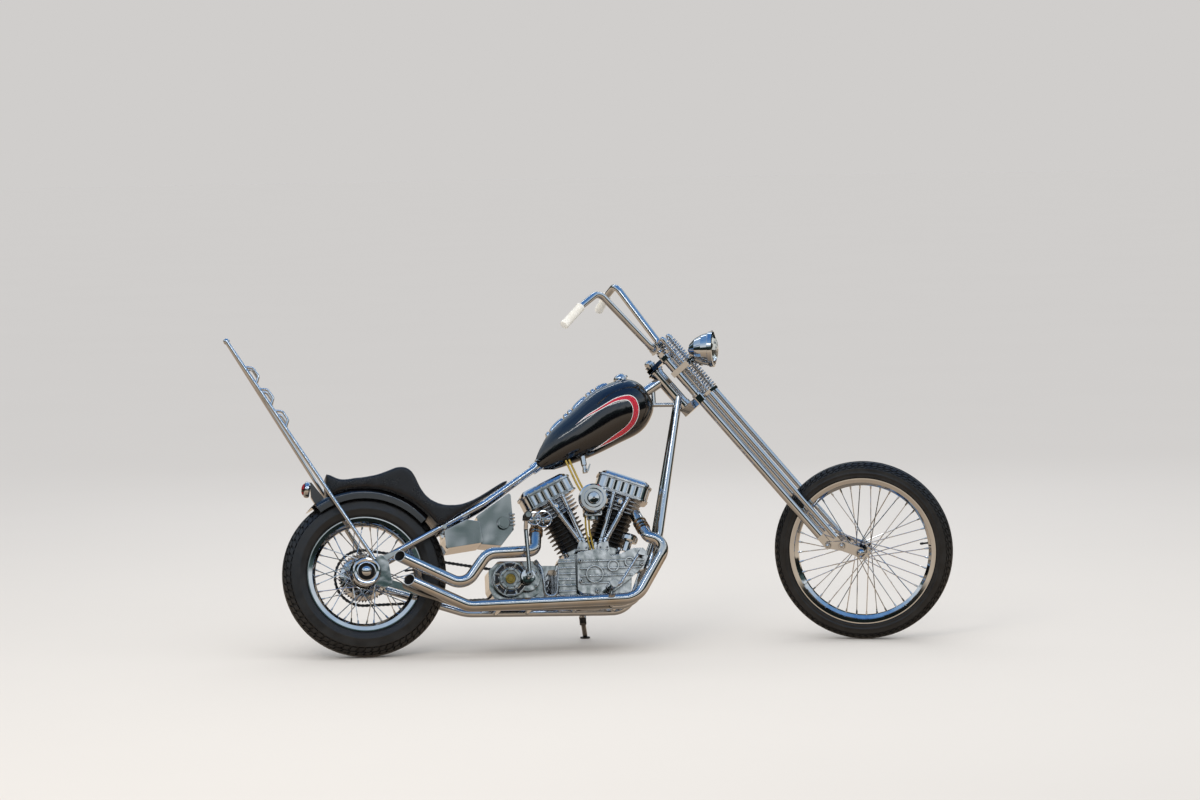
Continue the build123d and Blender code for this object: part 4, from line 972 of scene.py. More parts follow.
@dataclass
class WheelTrim:
    """Spoke nipples and the valve of one wheel."""

    name: str
    body: Body
    place: Matrix
    flange_hub: float      # radius of the hub's flange
    hub_half: float        # half the hub's width
    spoke_end: float       # radius at which the spokes meet the rim
    rim_y: float           # how far the spokes stand off the rim's middle
    spokes: int = 40
    lace: float = 62.0     # degrees that a spoke leads round the hub

    def spoke_line(self, side: int, k: int) -> tuple[Vector, Vector]:
        """Where one spoke runs.

        Args:
            side: -1 for the right flange, 1 for the left.
            k: Number of the spoke on that side.

        Returns:
            Its hub end and its rim end.
        """
        per_side = self.spokes // 2
        angle = 2 * math.pi * (k + (0.5 if side > 0 else 0)) / per_side
        lean = math.radians(self.lace) * (1 if k % 2 else -1)
        seat = self.flange_hub - 4
        y = side * (self.hub_half - 3 + (3.4 if k % 2 else -3.4))
        start = Vector((seat * math.cos(angle + lean), y, seat * math.sin(angle + lean)))
        end = Vector((self.spoke_end * math.cos(angle), side * self.rim_y,
                      self.spoke_end * math.sin(angle)))
        return start, end

    def build(self) -> None:
        """Make the nipples, the spoke heads and the valve."""
        nipple = [(0, -2), (3.6, -2), (3.6, 8), (2.9, 10), (2.9, 15), (0, 15)]
        head = [(0, -2), (3.4, -2), (3.0, 1.4), (1.4, 2.6), (0, 2.8)]
        stem = [(0, -2), (5.5, -2), (5.5, 3), (3.6, 4), (3.6, 20), (4.6, 20), (4.6, 30),
                (2.4, 33), (0, 33)]
        shape = Shape(self.place)
        for side in (-1, 1):
            for k in range(self.spokes // 2):
                start, end = self.spoke_line(side, k)
                shape.add(lathe(nipple, end, (start - end).normalized(), 8))
                out = Vector((0, 1 if (k % 2) == (side > 0) else -1, 0))
                shape.add(lathe(head, start + out * 1.6, out, 10))
        angle = 2 * math.pi * 0.25 / (self.spokes // 2)
        radial = Vector((math.cos(angle), 0, math.sin(angle)))
        shape.add(lathe(stem, radial * (self.spoke_end + 1), -radial, 12), 1)
        shape.build(self.name, CHROME, PAD, body=self.body)


@dataclass
class Wheels:
    """Both wheels' tyres and small parts."""

    cover_y: float = -118.4       # where the hub cover's ring stands, on the right
    left_nut_y: float = 131.0
    sprocket_y: float = 80.0      # the sprocket's outer face
    bolt_circle: float = 72.0
    bolts: int = 10

    def build(self) -> None:
        """Make tyres, nipples, valves and axle covers."""
        TyreCasing(
            "rear_tyre_tread", "rear_tyre", Body.REAR_WHEEL, STANCE.rear_wheel,
            ring=249, section=61, flange=217, half_rim=44, bead=203, groove=5.5,
            ribs=((-7, 7, 1.6), (11, 21, 1.6), (-21, -11, 1.6)),
            blocks=((25, 38, 66, 0.74), (41, 57, 66, 0.66)),
        ).build()
        TyreCasing(
            "front_tyre_tread", "front_tyre", Body.FRONT_WHEEL, STANCE.front_wheel,
            ring=303, section=40, flange=281, half_rim=33, bead=268, groove=4.0,
            ribs=((-8, 8, 1.4), (13, 26, 1.4), (-26, -13, 1.4)),
            blocks=((31, 46, 84, 0.72), (49, 60, 84, 0.5)),
        ).build()
        WheelTrim("rear_nipples", Body.REAR_WHEEL, STANCE.rear_wheel, 50, 46, 185.2, 9).build()
        WheelTrim("front_nipples", Body.FRONT_WHEEL, STANCE.front_wheel, 31, 36, 250.2, 7).build()
        self.rear_hub_face()

    def rear_hub_face(self) -> None:
        """Cover ring and dome on the rear axle's right end, its left nut, and sprocket bolts."""
        nut = Shape(STANCE.rear_wheel)
        face = (0, self.cover_y, 0)
        ring = [(32, 0), (51, 0), (52.5, 1.5), (52.5, 5), (50, 8), (46, 9), (42, 7.5), (37, 6.5),
                (34, 8.5), (32, 8.5)]
        dome = [(0, 2), (19, 2), (20, 4), (20, 13), (18, 18.5), (12.5, 23), (6, 25.4), (0, 26)]
        nut.add(lathe(ring, face, RIGHT, 56))
        # Near-black disc on the recessed floor between ring and dome: painted shade
        nut.add(lathe(rod(32.4, 0, 3), face, RIGHT, 40), 1)
        nut.add(lathe(dome, face, RIGHT, 36))
        nut.dome_nut((0, self.left_nut_y, 0), LEFT, 32, 16)
        nut.build("rear_axle_nuts", CHROME, HOLE)
        bolts = Shape(STANCE.rear_wheel)
        r = self.bolt_circle
        for a in turns(self.bolts):
            bolts.bolt((r * math.cos(a), self.sprocket_y, r * math.sin(a)), LEFT, 13, 6)
        bolts.build("sprocket_bolts", STEEL, body=Body.REAR_WHEEL)


# ---------------------------------------------------------------- drive


@dataclass
class Chain:
    """Roller chain round both sprockets, in place of the plain CAD loop."""

    rear: float = 106.0
    front: float = 50.3
    gearbox: Pair = (556.0, 262.0)
    axle_z: float = 310.0
    y: float = 77.3
    pitch: float = 15.875
    roller: float = 5.0
    plate_height: float = 5.6     # half of it, round each pin
    waist: float = 0.68           # share of that height between the pins
    inner: Pair = (3.2, 4.6)     # where the plates stand off the middle
    outer: Pair = (4.7, 5.8)

    def path(self) -> list[Pair]:
        """Run of the chain round both sprockets.

        Returns:
            Evenly spaced pin centres, as X and Z.
        """
        dx, dz = self.gearbox[0], self.gearbox[1] - self.axle_z
        span, tilt = math.hypot(dx, dz), math.atan2(dz, dx)
        swing = math.acos((self.rear - self.front) / span)
        dense: list[Pair] = []
        for k in range(161):
            a = tilt + swing + (2 * math.pi - 2 * swing) * k / 160
            dense.append((self.rear * math.cos(a), self.axle_z + self.rear * math.sin(a)))
        for k in range(81):
            a = tilt - swing + 2 * swing * k / 80
            x, z = dx + self.front * math.cos(a), self.gearbox[1] + self.front * math.sin(a)
            dense.append((x, z))
        dense.append(dense[0])
        lengths = [0.0]
        for p, q in zip(dense, dense[1:]):
            lengths.append(lengths[-1] + math.dist(p, q))
        count = 2 * round(lengths[-1] / self.pitch / 2)
        spots, i = [], 0
        for k in range(count):
            want = lengths[-1] * k / count
            while lengths[i + 1] < want:
                i += 1
            share = (want - lengths[i]) / (lengths[i + 1] - lengths[i])
            spots.append(tuple(a + (b - a) * share for a, b in zip(dense[i], dense[i + 1])))
        return spots

    def plate(self, shape: Shape, a: Point, b: Point, low: float, high: float) -> None:
        """Add one waisted link plate between two pins.

        Args:
            shape: Drawing that gets the plate.
            a: One pin, as X and Z.
            b: The next pin.
            low: Right face, off the chain's middle.
            high: Left face.
        """
        start, end = Vector((a[0], a[1])), Vector((b[0], b[1]))
        along = (end - start).normalized()
        across = Vector((-along[1], along[0]))
        rim = []
        for centre, sign in ((end, 1), (start, -1)):
            for k in range(7):
                t = -math.pi / 2 + math.pi * k / 6
                ray = along * math.cos(t) + across * math.sin(t)
                rim.append(centre + ray * sign * self.plate_height)
            rim.append((start + end) / 2 + across * sign * self.plate_height * self.waist)
        shape.add(prism([tuple(p) for p in rim], low, high, side_place(self.y)))

    def build(self) -> None:
        """Make the rollers, link plates and pin heads."""
        shape = Shape()
        pins = self.path()
        for k, spot in enumerate(pins):
            after = pins[(k + 1) % len(pins)]
            near, far = self.outer if k % 2 else self.inner
            for low, high in ((-far, -near), (near, far)):
                self.plate(shape, spot, after, low, high)
            middle = (spot[0], self.y, spot[1])
            shape.add(lathe(rod(self.roller, -3.1, 3.1), middle, LEFT, 12))
            shape.add(lathe(rod(2.2, -6.0, 6.0), middle, LEFT, 8))
        shape.build("drive_chain_links", STEEL, replaces=["drive_chain"])


# ---------------------------------------------------------------- fork and bars


@dataclass
class Fork:
    """Springs, caps, bolts and grips of the springer fork, in the fork drawing."""

    leg_x: float = 77.0           # rear legs
    sprung_x: float = 118.0       # front legs, which the springs stand round
    leg_y: float = 65.0
    wire: float = 2.7             # radius of the springs' wire
    # Each leg's springs: foot, top, radius, turns
    springs: tuple[tuple[float, float, float, float], ...] = (
        (850.4, 969.6, 18, 9.5), (992.4, 1095.6, 15, 8.5),
    )
    clamp_y: float = 58.0
    # Where the four bolts of a handlebar clamp stand, ahead of the stem and up
    clamp_bolts: tuple[Point, ...] = ((54, 1120), (82, 1120), (52, 1092), (84, 1092))
    # Ends of the left grip's middle line
    grip_inner: Triple = (4.0, 262.0, 1400.0)
    grip_outer: Triple = (-75.0, 345.0, 1385.0)
    grip_rings: int = 17
    grip_pitch: float = 5.4

    def coil(
        self, shape: Shape, y: float, low: float, high: float, radius: float, rounds: float
    ) -> None:
        """Add one coil spring with closed ends.

        Args:
            shape: Drawing that gets the spring.
            y: Leg that it stands round.
            low: Height of its foot.
            high: Height of its top.
            radius: Outer radius.
            rounds: Number of turns.
        """
        steps = int(rounds * 24)
        reach = radius - self.wire
        path = []
        for k in range(steps + 1):
            share = k / steps
            a = 2 * math.pi * rounds * share
            # The first and last turns rise less, so that they lie close to their neighbours
            foot, top = min(1.0, share * rounds), min(1.0, (1 - share) * rounds)
            ends = self.wire * (1.6 * foot - 1.6 * top)
            rise = low + self.wire + (high - low - 2 * self.wire) * share - ends * 0.3
            path.append((self.sprung_x + reach * math.cos(a), y + reach * math.sin(a), rise))
        shape.add(pipe(path, self.wire, 10))

    def build(self) -> None:
        """Make the springs and the fork's small parts."""
        springs = Shape(STANCE.fork)
        for side in (-1, 1):
            for low, high, radius, rounds in self.springs:
                self.coil(springs, side * self.leg_y, low, high, radius, rounds)
        springs.build("fork_spring_coils", CHROME, body=Body.STEERING, replaces=["fork_springs"])
        self.caps()
        self.clamps()
        self.grips()

    def caps(self) -> None:
        """Nuts, plugs and collars on the legs and the stem."""
        plug = [(0, 0), (5.5, 0), (5.5, 7), (4, 9), (0, 9)]
        collars = (
            (862, [(12, 0), (20, 0), (20, 9), (18, 11), (16.2, 11), (16.2, 0)]),
            (1035, [(12, 0), (20, 0), (20, 7), (18, 9), (16.2, 9), (16.2, 0)]),
        )
        top_cup = [(0, 0), (30, 0), (33, 2), (33, 7), (30, 9), (0, 9)]
        low_cup = [(0, 0), (33, 0), (33, 3), (30, 4), (0, 4)]
        caps = Shape(STANCE.fork)
        for side in (-1, 1):
            y = side * self.leg_y
            caps.dome_nut((self.sprung_x, y, 1108), UP, 19, 15)
            for x, z in ((self.leg_x, 104), (self.sprung_x, 68)):
                caps.dome_nut((x, y + side * 26, z), (0, side, 0), 15, 9)
            for z in (847, 1052):
                caps.add(lathe(plug, (self.leg_x + 19, y, z), AHEAD, 16))
            for z, collar in collars:
                caps.add(lathe(collar, (self.leg_x, y, z), UP, 32))
        caps.dome_nut((0, 0, 1071), UP, 34, 22)
        caps.add(lathe(top_cup, (0, 0, 1033), UP, 40))
        caps.add(lathe(low_cup, (0, 0, 862), UP, 40))
        caps.build("fork_caps", CHROME, body=Body.STEERING)

    def clamps(self) -> None:
        """Bolts of the two handlebar clamps."""
        bolt = [(0, 0), (4.6, 0), (4.6, 26), (3.4, 27.5), (0, 27.5)]
        shape = Shape(STANCE.fork)
        for side in (-1, 1):
            for x, z in self.clamp_bolts:
                shape.add(lathe(bolt, (x, side * self.clamp_y - 13.5, z), LEFT, 14))
        shape.build("riser_bolts", CHROME, body=Body.STEERING)

    def grips(self) -> None:
        """Ivory grips with rings and a flange, in place of the plain CAD grips."""
        outline = [(0.0, 0.0), (13.0, 0.0), (17.9, 0.0), (17.9, 5.0), (15.4, 6.5)]
        for k in range(self.grip_rings):
            z = 9 + k * self.grip_pitch
            outline += [(15.6, z), (16.9, z + 1.4), (16.9, z + 3.2), (15.6, z + 4.6)]
        outline += [(17.4, 104.0), (17.9, 107.0), (16.5, 114.0), (11.0, 115.8), (0.0, 116.0)]
        shape = Shape(STANCE.fork)
        for side in (-1, 1):
            ends = (self.grip_inner, self.grip_outer)
            inner, outer = (Vector((x, side * y, z)) for x, y, z in ends)
            along = (outer - inner).normalized()
            shape.add(lathe(outline, outer - along * 112, along, 28))
        shape.build("grip_rubbers", IVORY, body=Body.STEERING, replaces=["grips"])


@dataclass
class Headlamp:
    """Fluted glass and rim of the headlamp, on the steered bike drawing."""

    rim_x: float = 1376.0
    z: float = 1137.0
    radius: float = 66.0
    bead: float = 3.4              # radius of the rim's bead
    flute_width: float = 9.0
    flute_depth: float = 0.7
    fluted_to: float = 56.0        # radius within which the glass is fluted
    glass_steps: int = 96
    # Radius and height of the glass, from near its middle to its edge
    dome: tuple[Point, ...] = (
        (14, 21.6), (28, 20), (40, 16.5), (50, 11.5), (57, 7), (59.4, 4), (59.4, 0.6),
    )

    def build(self) -> None:
        """Make the glass and the rim."""
        self.glass()
        self.rim()

    def glass(self) -> None:
        """Upright flutes behind a smooth dome, in place of the CAD lens."""
        lens = Shape(STANCE.steered)
        front = []
        for r, h in self.dome:
            loop = []
            for a in turns(self.glass_steps):
                y, z = r * math.cos(a), r * math.sin(a)
                wave = abs(math.sin(y * math.pi / self.flute_width))
                flute = self.flute_depth * wave * (1 if r < self.fluted_to else 0)
                loop.append(Vector((self.rim_x + 0.3 + h - flute, y, self.z + z)))
            front.append(loop)
        back = [[Vector((self.rim_x + 0.4, p.y, p.z)) for p in front[-1]]]
        lens.add(skin(front + back))
        lens.build("headlamp_glass", GLASS, body=Body.STEERING, replaces=["headlamp_lens"])

    def rim(self) -> None:
        """Round bead, its screw on top and the bracket's bolt."""
        trim = Shape(STANCE.steered)
        x, r = self.rim_x + 3, self.radius - 1
        path = [(x, r * math.cos(a), self.z + r * math.sin(a)) for a in turns(64)]
        trim.add(pipe(path, self.bead, 10, around=True))
        trim.socket_screw((x, 0, self.z + self.radius + 2), UP, 4, 4)
        trim.bolt((1331, 0, self.z - 52), (-0.4, 0, -1), 15, 8)
        trim.build("headlamp_rim", CHROME, HOLE, body=Body.STEERING)


# ---------------------------------------------------------------- engine


@dataclass
class Engine:
    """Beads, screws, plugs and collars of the V-twin."""

    crank: Pair = (868.0, 248.0)
    half: float = 72.0           # half the crankcase's width
    v_angle: float = 45.0
    v_tilt: float = 2.7
    windows: int = 5
    window_pitch: float = 28.0
    cover_half: float = 65.0     # rocker cover's walls, out from the middle plane
    window_z: Pair = (358.0, 402.0)
    flute_z: Pair = (361.3, 398.7)
    flute_half: float = 10.2
    lip_z: float = 411.0
    # Screws and bolts on the cases, ahead and up
    cam_screws: tuple[Point, ...] = (
        (808, 322), (808, 246), (1042, 304), (1040, 350), (868, 206), (928, 222),
    )
    tappet_screws: tuple[Point, ...] = ((806, 372), (834, 372), (888, 372), (914, 372))
    left_bolts: tuple[Point, ...] = (
        (768, 346), (752, 218), (790, 182), (1000, 340), (1002, 222), (952, 178),
    )
    right_bolts: tuple[Point, ...] = ((780, 180), (962, 178))
    # Pushrod tubes: foot and top, ahead and up
    pushrods: tuple[tuple[float, float, float, float], ...] = (
        (817, 396, 705, 566), (828, 394, 755, 582), (892, 392, 957, 586), (908, 394, 1009, 562),
    )
    # Rings on each tube: share of its length, radius, length, paint
    collars: tuple[tuple[float, float, float, int], ...] = (
        (0.03, 12.5, 9, 0), (0.09, 10.8, 3, 1), (0.62, 11.2, 7, 0), (0.665, 10, 3, 1),
        (0.95, 10.4, 8, 0),
    )
    air_cleaner: Pair = (862.0, 552.0)

    def bank(self, which: int) -> Matrix:
        """Frame of a cylinder: X square to it, Y across the bike, Z along it.

        Args:
            which: 0 for the rear cylinder, 1 for the front one.

        Returns:
            Cylinder drawing to upright bike.
        """
        half_v = self.v_angle / 2
        a = math.radians(90 + self.v_tilt + (half_v if which == 0 else -half_v))
        c, s = math.cos(a), math.sin(a)
        x, z = self.crank
        return Matrix(((s, 0, c, x), (0, 1, 0, 0), (-c, 0, s, z), (0, 0, 0, 1)))

    def build(self) -> None:
        """Make every group of small engine parts."""
        for which in (0, 1):
            self.rocker_cover(which)
            self.head_trim(which)
        self.cam_cover_screws()
        self.pushrod_seals()
        self.case_bolts()
        self.intake()

    def posts(self) -> list[float]:
        """Middles of the posts beside a rocker cover's windows, along the cover."""
        return [(k - self.windows / 2) * self.window_pitch for k in range(self.windows + 1)]

    def rocker_cover(self, which: int) -> None:
        """Beads on one rocker cover's posts, flutes in its windows, and its lip's screws.

        Args:
            which: 0 for the rear cylinder, 1 for the front one.
        """
        place = self.bank(which)
        wall = self.cover_half
        low, high = self.window_z
        beads = Shape()
        for side in (-1, 1):
            face = place @ Matrix((
                (1, 0, 0, 0), (0, 0, side, side * wall), (0, 1, 0, 0), (0, 0, 0, 1),
            ))
            for x in self.posts():
                corners = [(x - 1.3, low), (x + 1.3, low), (x + 1.3, high), (x - 1.3, high)]
                beads.add(prism(corners, -1, 1.8, face))
        beads.build(f"rocker_beads_{which}", CHROME)
        flutes = Shape()
        for side in (-1, 1):
            for k in range(self.windows):
                x = (k - (self.windows - 1) / 2) * self.window_pitch
                front = [(x + self.flute_half * s, side * (wall - 0.4 - 2.8 * (1 - s * s)))
                         for s in (j / 8 - 1 for j in range(17))]
                back = [(x + s * self.flute_half, side * (wall - 4)) for s in (1, -1)]
                flutes.add(prism(front + back, *self.flute_z, place))
        flutes.build(f"rocker_flutes_{which}", CHROME, sharp=50)
        screws = Shape()
        up = place.to_3x3() @ Vector(UP)
        spots = [(x, side * 65.4) for side in (-1, 1) for x in self.posts()]
        spots += [(x, y) for x in (-102.4, 102.4) for y in (-28, 0, 28)]
        for x, y in spots:
            screws.socket_screw(place @ Vector((x, y, self.lip_z)), up, 3.4, 4)
        screws.build(f"rocker_screws_{which}", CHROME, HOLE)

    def head_trim(self, which: int) -> None:
        """Spark plugs and base nuts of one cylinder.

        Args:
            which: 0 for the rear cylinder, 1 for the front one.
        """
        insulator = [(0, 7), (7, 7), (7.5, 12), (6, 14), (6.8, 16), (5.2, 18), (5.8, 20), (4, 23),
                     (0, 23)]
        place = self.bank(which)
        axes = place.to_3x3()
        plug = Shape()
        for side in (-1, 1):
            foot = place @ Vector((0, side * 72, 318))
            out = axes @ Vector((0, side, 0.35))
            plug.add(lathe(rod(12, 0, 8), foot, out, HEXAGON), 0)
            plug.add(lathe(insulator, foot, out, 16), 1)
            plug.add(lathe(rod(3, 22, 28), foot, out, 12), 0)
        plug.build(f"spark_plugs_{which}", CHROME, IVORY)
        bolts = Shape()
        for x in (-52, 52):
            for y in (-54, 54):
                bolts.bolt(place @ Vector((x, y, 146)), axes @ Vector(UP), 15, 9)
        bolts.build(f"base_nuts_{which}", CHROME)

    def cam_cover_screws(self) -> None:
        """Socket screws in the cam cover's bosses."""
        shape = Shape()
        for x, z in self.cam_screws:
            shape.socket_screw((x, -self.half - 46.3, z), RIGHT, 6.2, 5)
        shape.build("cam_cover_screws", CHROME, HOLE)

    def pushrod_seals(self) -> None:
        """Collars and seals on the four pushrod tubes, and the tappet blocks' screws."""
        shape = Shape()
        for foot_x, foot_z, top_x, top_z in self.pushrods:
            foot = Vector((foot_x, -92, foot_z))
            run = Vector((top_x, -82.8, top_z)) - foot
            for share, r, length, paint in self.collars:
                ring = [(0, 0), (r - 1, 0), (r, 1), (r, length - 1), (r - 1, length), (0, length)]
                shape.add(lathe(ring, foot + run * share, run, 20), paint)
        shape.build("pushrod_collars", CHROME, PAD)
        tappets = Shape()
        for x, z in self.tappet_screws:
            tappets.socket_screw((x, -112, z), RIGHT, 4.2, 3.5)
        tappets.build("tappet_screws", CHROME, HOLE)

    def case_bolts(self) -> None:
        """Bolts round the crankcase on both sides."""
        shape = Shape()
        for x, z in self.left_bolts:
            shape.bolt((x, self.half, z), LEFT, 14, 8)
        for x, z in self.right_bolts:
            shape.bolt((x, -self.half, z), RIGHT, 14, 8)
        shape.build("crankcase_bolts", CHROME)

    def intake(self) -> None:
        """Air cleaner's centre screw and the carburettor's screws."""
        shape = Shape()
        x, z = self.air_cleaner
        shape.socket_screw((x, -193, z), RIGHT, 5, 3)
        for dx, dz in ((-24, -54), (26, -54), (-24, -12), (26, -12)):
            shape.socket_screw((x + dx, -148, z + dz), RIGHT, 3.6, 3)
        shape.build("carburettor_screws", CHROME, HOLE)


@dataclass
class Plumbing:
    """Exhaust tips with their soot, header clamps, hoses and the petcock."""

    pipe_radius: float = 22.0
    wall: float = 2.0
    slant: float = 40.0        # degrees that the exhaust tips' cut is off square
    soot_depth: float = 150.0
    # Tail pipes: CAD node, end, and the bend before it
    tips: tuple[tuple[str, Point, Point], ...] = (
        ("exhaust_front_tail", (138, -168, 276), (374, -168, 160)),
        ("exhaust_rear_tail", (106, -170, 366), (362, -170, 236)),
    )
    # Headers: port, first bend, and where along that run the clamps sit
    clamps: tuple[tuple[Point, Point, Point], ...] = (
        ((1034, -62, 500), (1066, -146, 402), (0.34, 0.50, 0.62)),
        ((656, -62, 486), (634, -150, 362), (0.30, 0.42)),
    )
    # Spoked rings before the rear port: ahead, up, radius
    port_rings: tuple[Point, ...] = ((641, 489, 24), (676, 486, 30))
    ring_y: float = -118.0
    oil_line: tuple[Point, ...] = (
        (640, -88, 330), (664, -96, 300), (669, -100, 240), (670, -100, 196), (716, -100, 194),
        (722, -100, 250), (728, -98, 312), (756, -96, 330),
    )
    fuel_line: tuple[Point, ...] = (
        (770, -30, 752), (798, -46, 676), (818, -56, 622), (836, -62, 588),
    )
    fuel_gap: float = 14.0     # between the two fuel hoses

    def build(self) -> None:
        """Make every group."""
        self.exhaust_tips()
        self.port_clamps()
        self.port_bar()
        self.oil_hose()
        self.petcock()
        self.fuel_hoses()

    def exhaust_tips(self) -> None:
        """Tail pipes cut slantwise, so that their mouths face outward, and the soot inside."""
        place = STANCE.bike
        r = self.pipe_radius - self.wall - 0.1
        lining = [(0, self.soot_depth), (r, self.soot_depth), (r, -4), (r - 1, -4),
                  (r - 1, self.soot_depth - 2), (0, self.soot_depth - 2)]
        a = math.radians(self.slant)
        for node, tip, inward in self.tips:
            out = (Vector(tip) - Vector(inward)).normalized()
            slanted = out * math.cos(a) + Vector(RIGHT) * math.sin(a)
            normal = (place.to_3x3() @ slanted).normalized()
            edge = Vector(tip) + Vector((0, self.pipe_radius, 0))
            obj = add_object(f"{node}_slashed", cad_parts[node].data.copy())
            slash(obj, place @ edge, normal)
            stand_for(obj, node, PIPE_CHROME)
            soot = Shape(place)
            soot.add(lathe(lining, tip, -out, 40))
            inside = soot.build(f"{node}_soot", HOLE)
            slash(inside, place @ (edge - out * 0.8), normal)

    def port_clamps(self) -> None:
        """Clamp rings of both headers."""
        r = self.pipe_radius
        ring = [(r - 0.6, 0), (r + 3.4, 0), (r + 4.6, 1.2), (r + 4.6, 5.8), (r + 3.4, 7),
                (r - 0.6, 7)]
        rings = Shape()
        for start, end, shares in self.clamps:
            run = Vector(end) - Vector(start)
            for share in shares:
                rings.add(lathe(ring, Vector(start) + run * share, run, 40))
        rings.build("header_clamps", TANNED)

    def port_bar(self) -> None:
        """Two spoked rings on a bar before the rear port."""
        bar = Shape()
        rail = [(0, 0), (9, 0), (10, 1), (10, 92), (9, 93), (0, 93)]
        hub = [(0, 0), (7.5, 0), (7.5, 15), (6, 17), (0, 17)]
        y = self.ring_y
        bar.add(lathe(rail, (618, -104, 485), AHEAD, 24))
        for x, z, r in self.port_rings:
            path = [(x + r * math.cos(a), y, z + r * math.sin(a)) for a in turns(40)]
            bar.add(pipe(path, 3.4, 10, around=True))
            for k in range(3):
                a = math.radians(30 + 120 * k)
                bar.add(pipe([(x, y, z), (x + r * math.cos(a), y, z + r * math.sin(a))], 2.8, 8))
            bar.add(lathe(hub, (x, -106, z), RIGHT, 20))
        bar.build("rear_port_rings", CHROME)

    def oil_hose(self) -> None:
        """Bright braided oil hose in a U between the gearbox and the engine."""
        fitting = [(0, -2), (9, -2), (9, 12), (7.4, 14), (7.4, 20), (0, 20)]
        shape = Shape()
        path = rounded(self.oil_line, 26, 6)
        shape.add(pipe(path, 6.2, 16))
        for at, toward in ((path[0], path[3]), (path[-1], path[-4])):
            shape.add(lathe(fitting, at, toward - at, HEXAGON))
        shape.build("oil_hose", BRAIDED)

    def petcock(self) -> None:
        """Fuel tap under the tank, with its outlet and lever."""
        body = [(0, -46), (11, -46), (11, 0), (8, 4), (8, 16), (10, 18), (10, 30), (0, 30)]
        lever = [(-5, -4), (24, -2.5), (26, 0), (24, 2.5), (-5, 4)]
        at = Matrix.Translation((863, -54, 678)) @ side_place(0) @ Matrix.Rotation(1.2, 4, "Z")
        tap = Shape()
        tap.add(lathe(body, (852, -30, 700), (0.1, -0.1, -1), 20))
        tap.add(lathe(rod(5, 0, 22), (855, -32, 680), (0.4, -1, -0.1), 14))
        tap.add(prism(lever, 0, 3.5, at))
        tap.build("petcock", CHROME)

    def fuel_hoses(self) -> None:
        """Upper ends of the two amber hoses, from the tank to the CAD lines."""
        hoses = Shape()
        for shift in (0, self.fuel_gap):
            corners = [(x + shift, y, z) for x, y, z in self.fuel_line]
            hoses.add(pipe(rounded(corners, 24, 5), 4.0, 12))
        hoses.build("fuel_hoses_upper", HOSE)


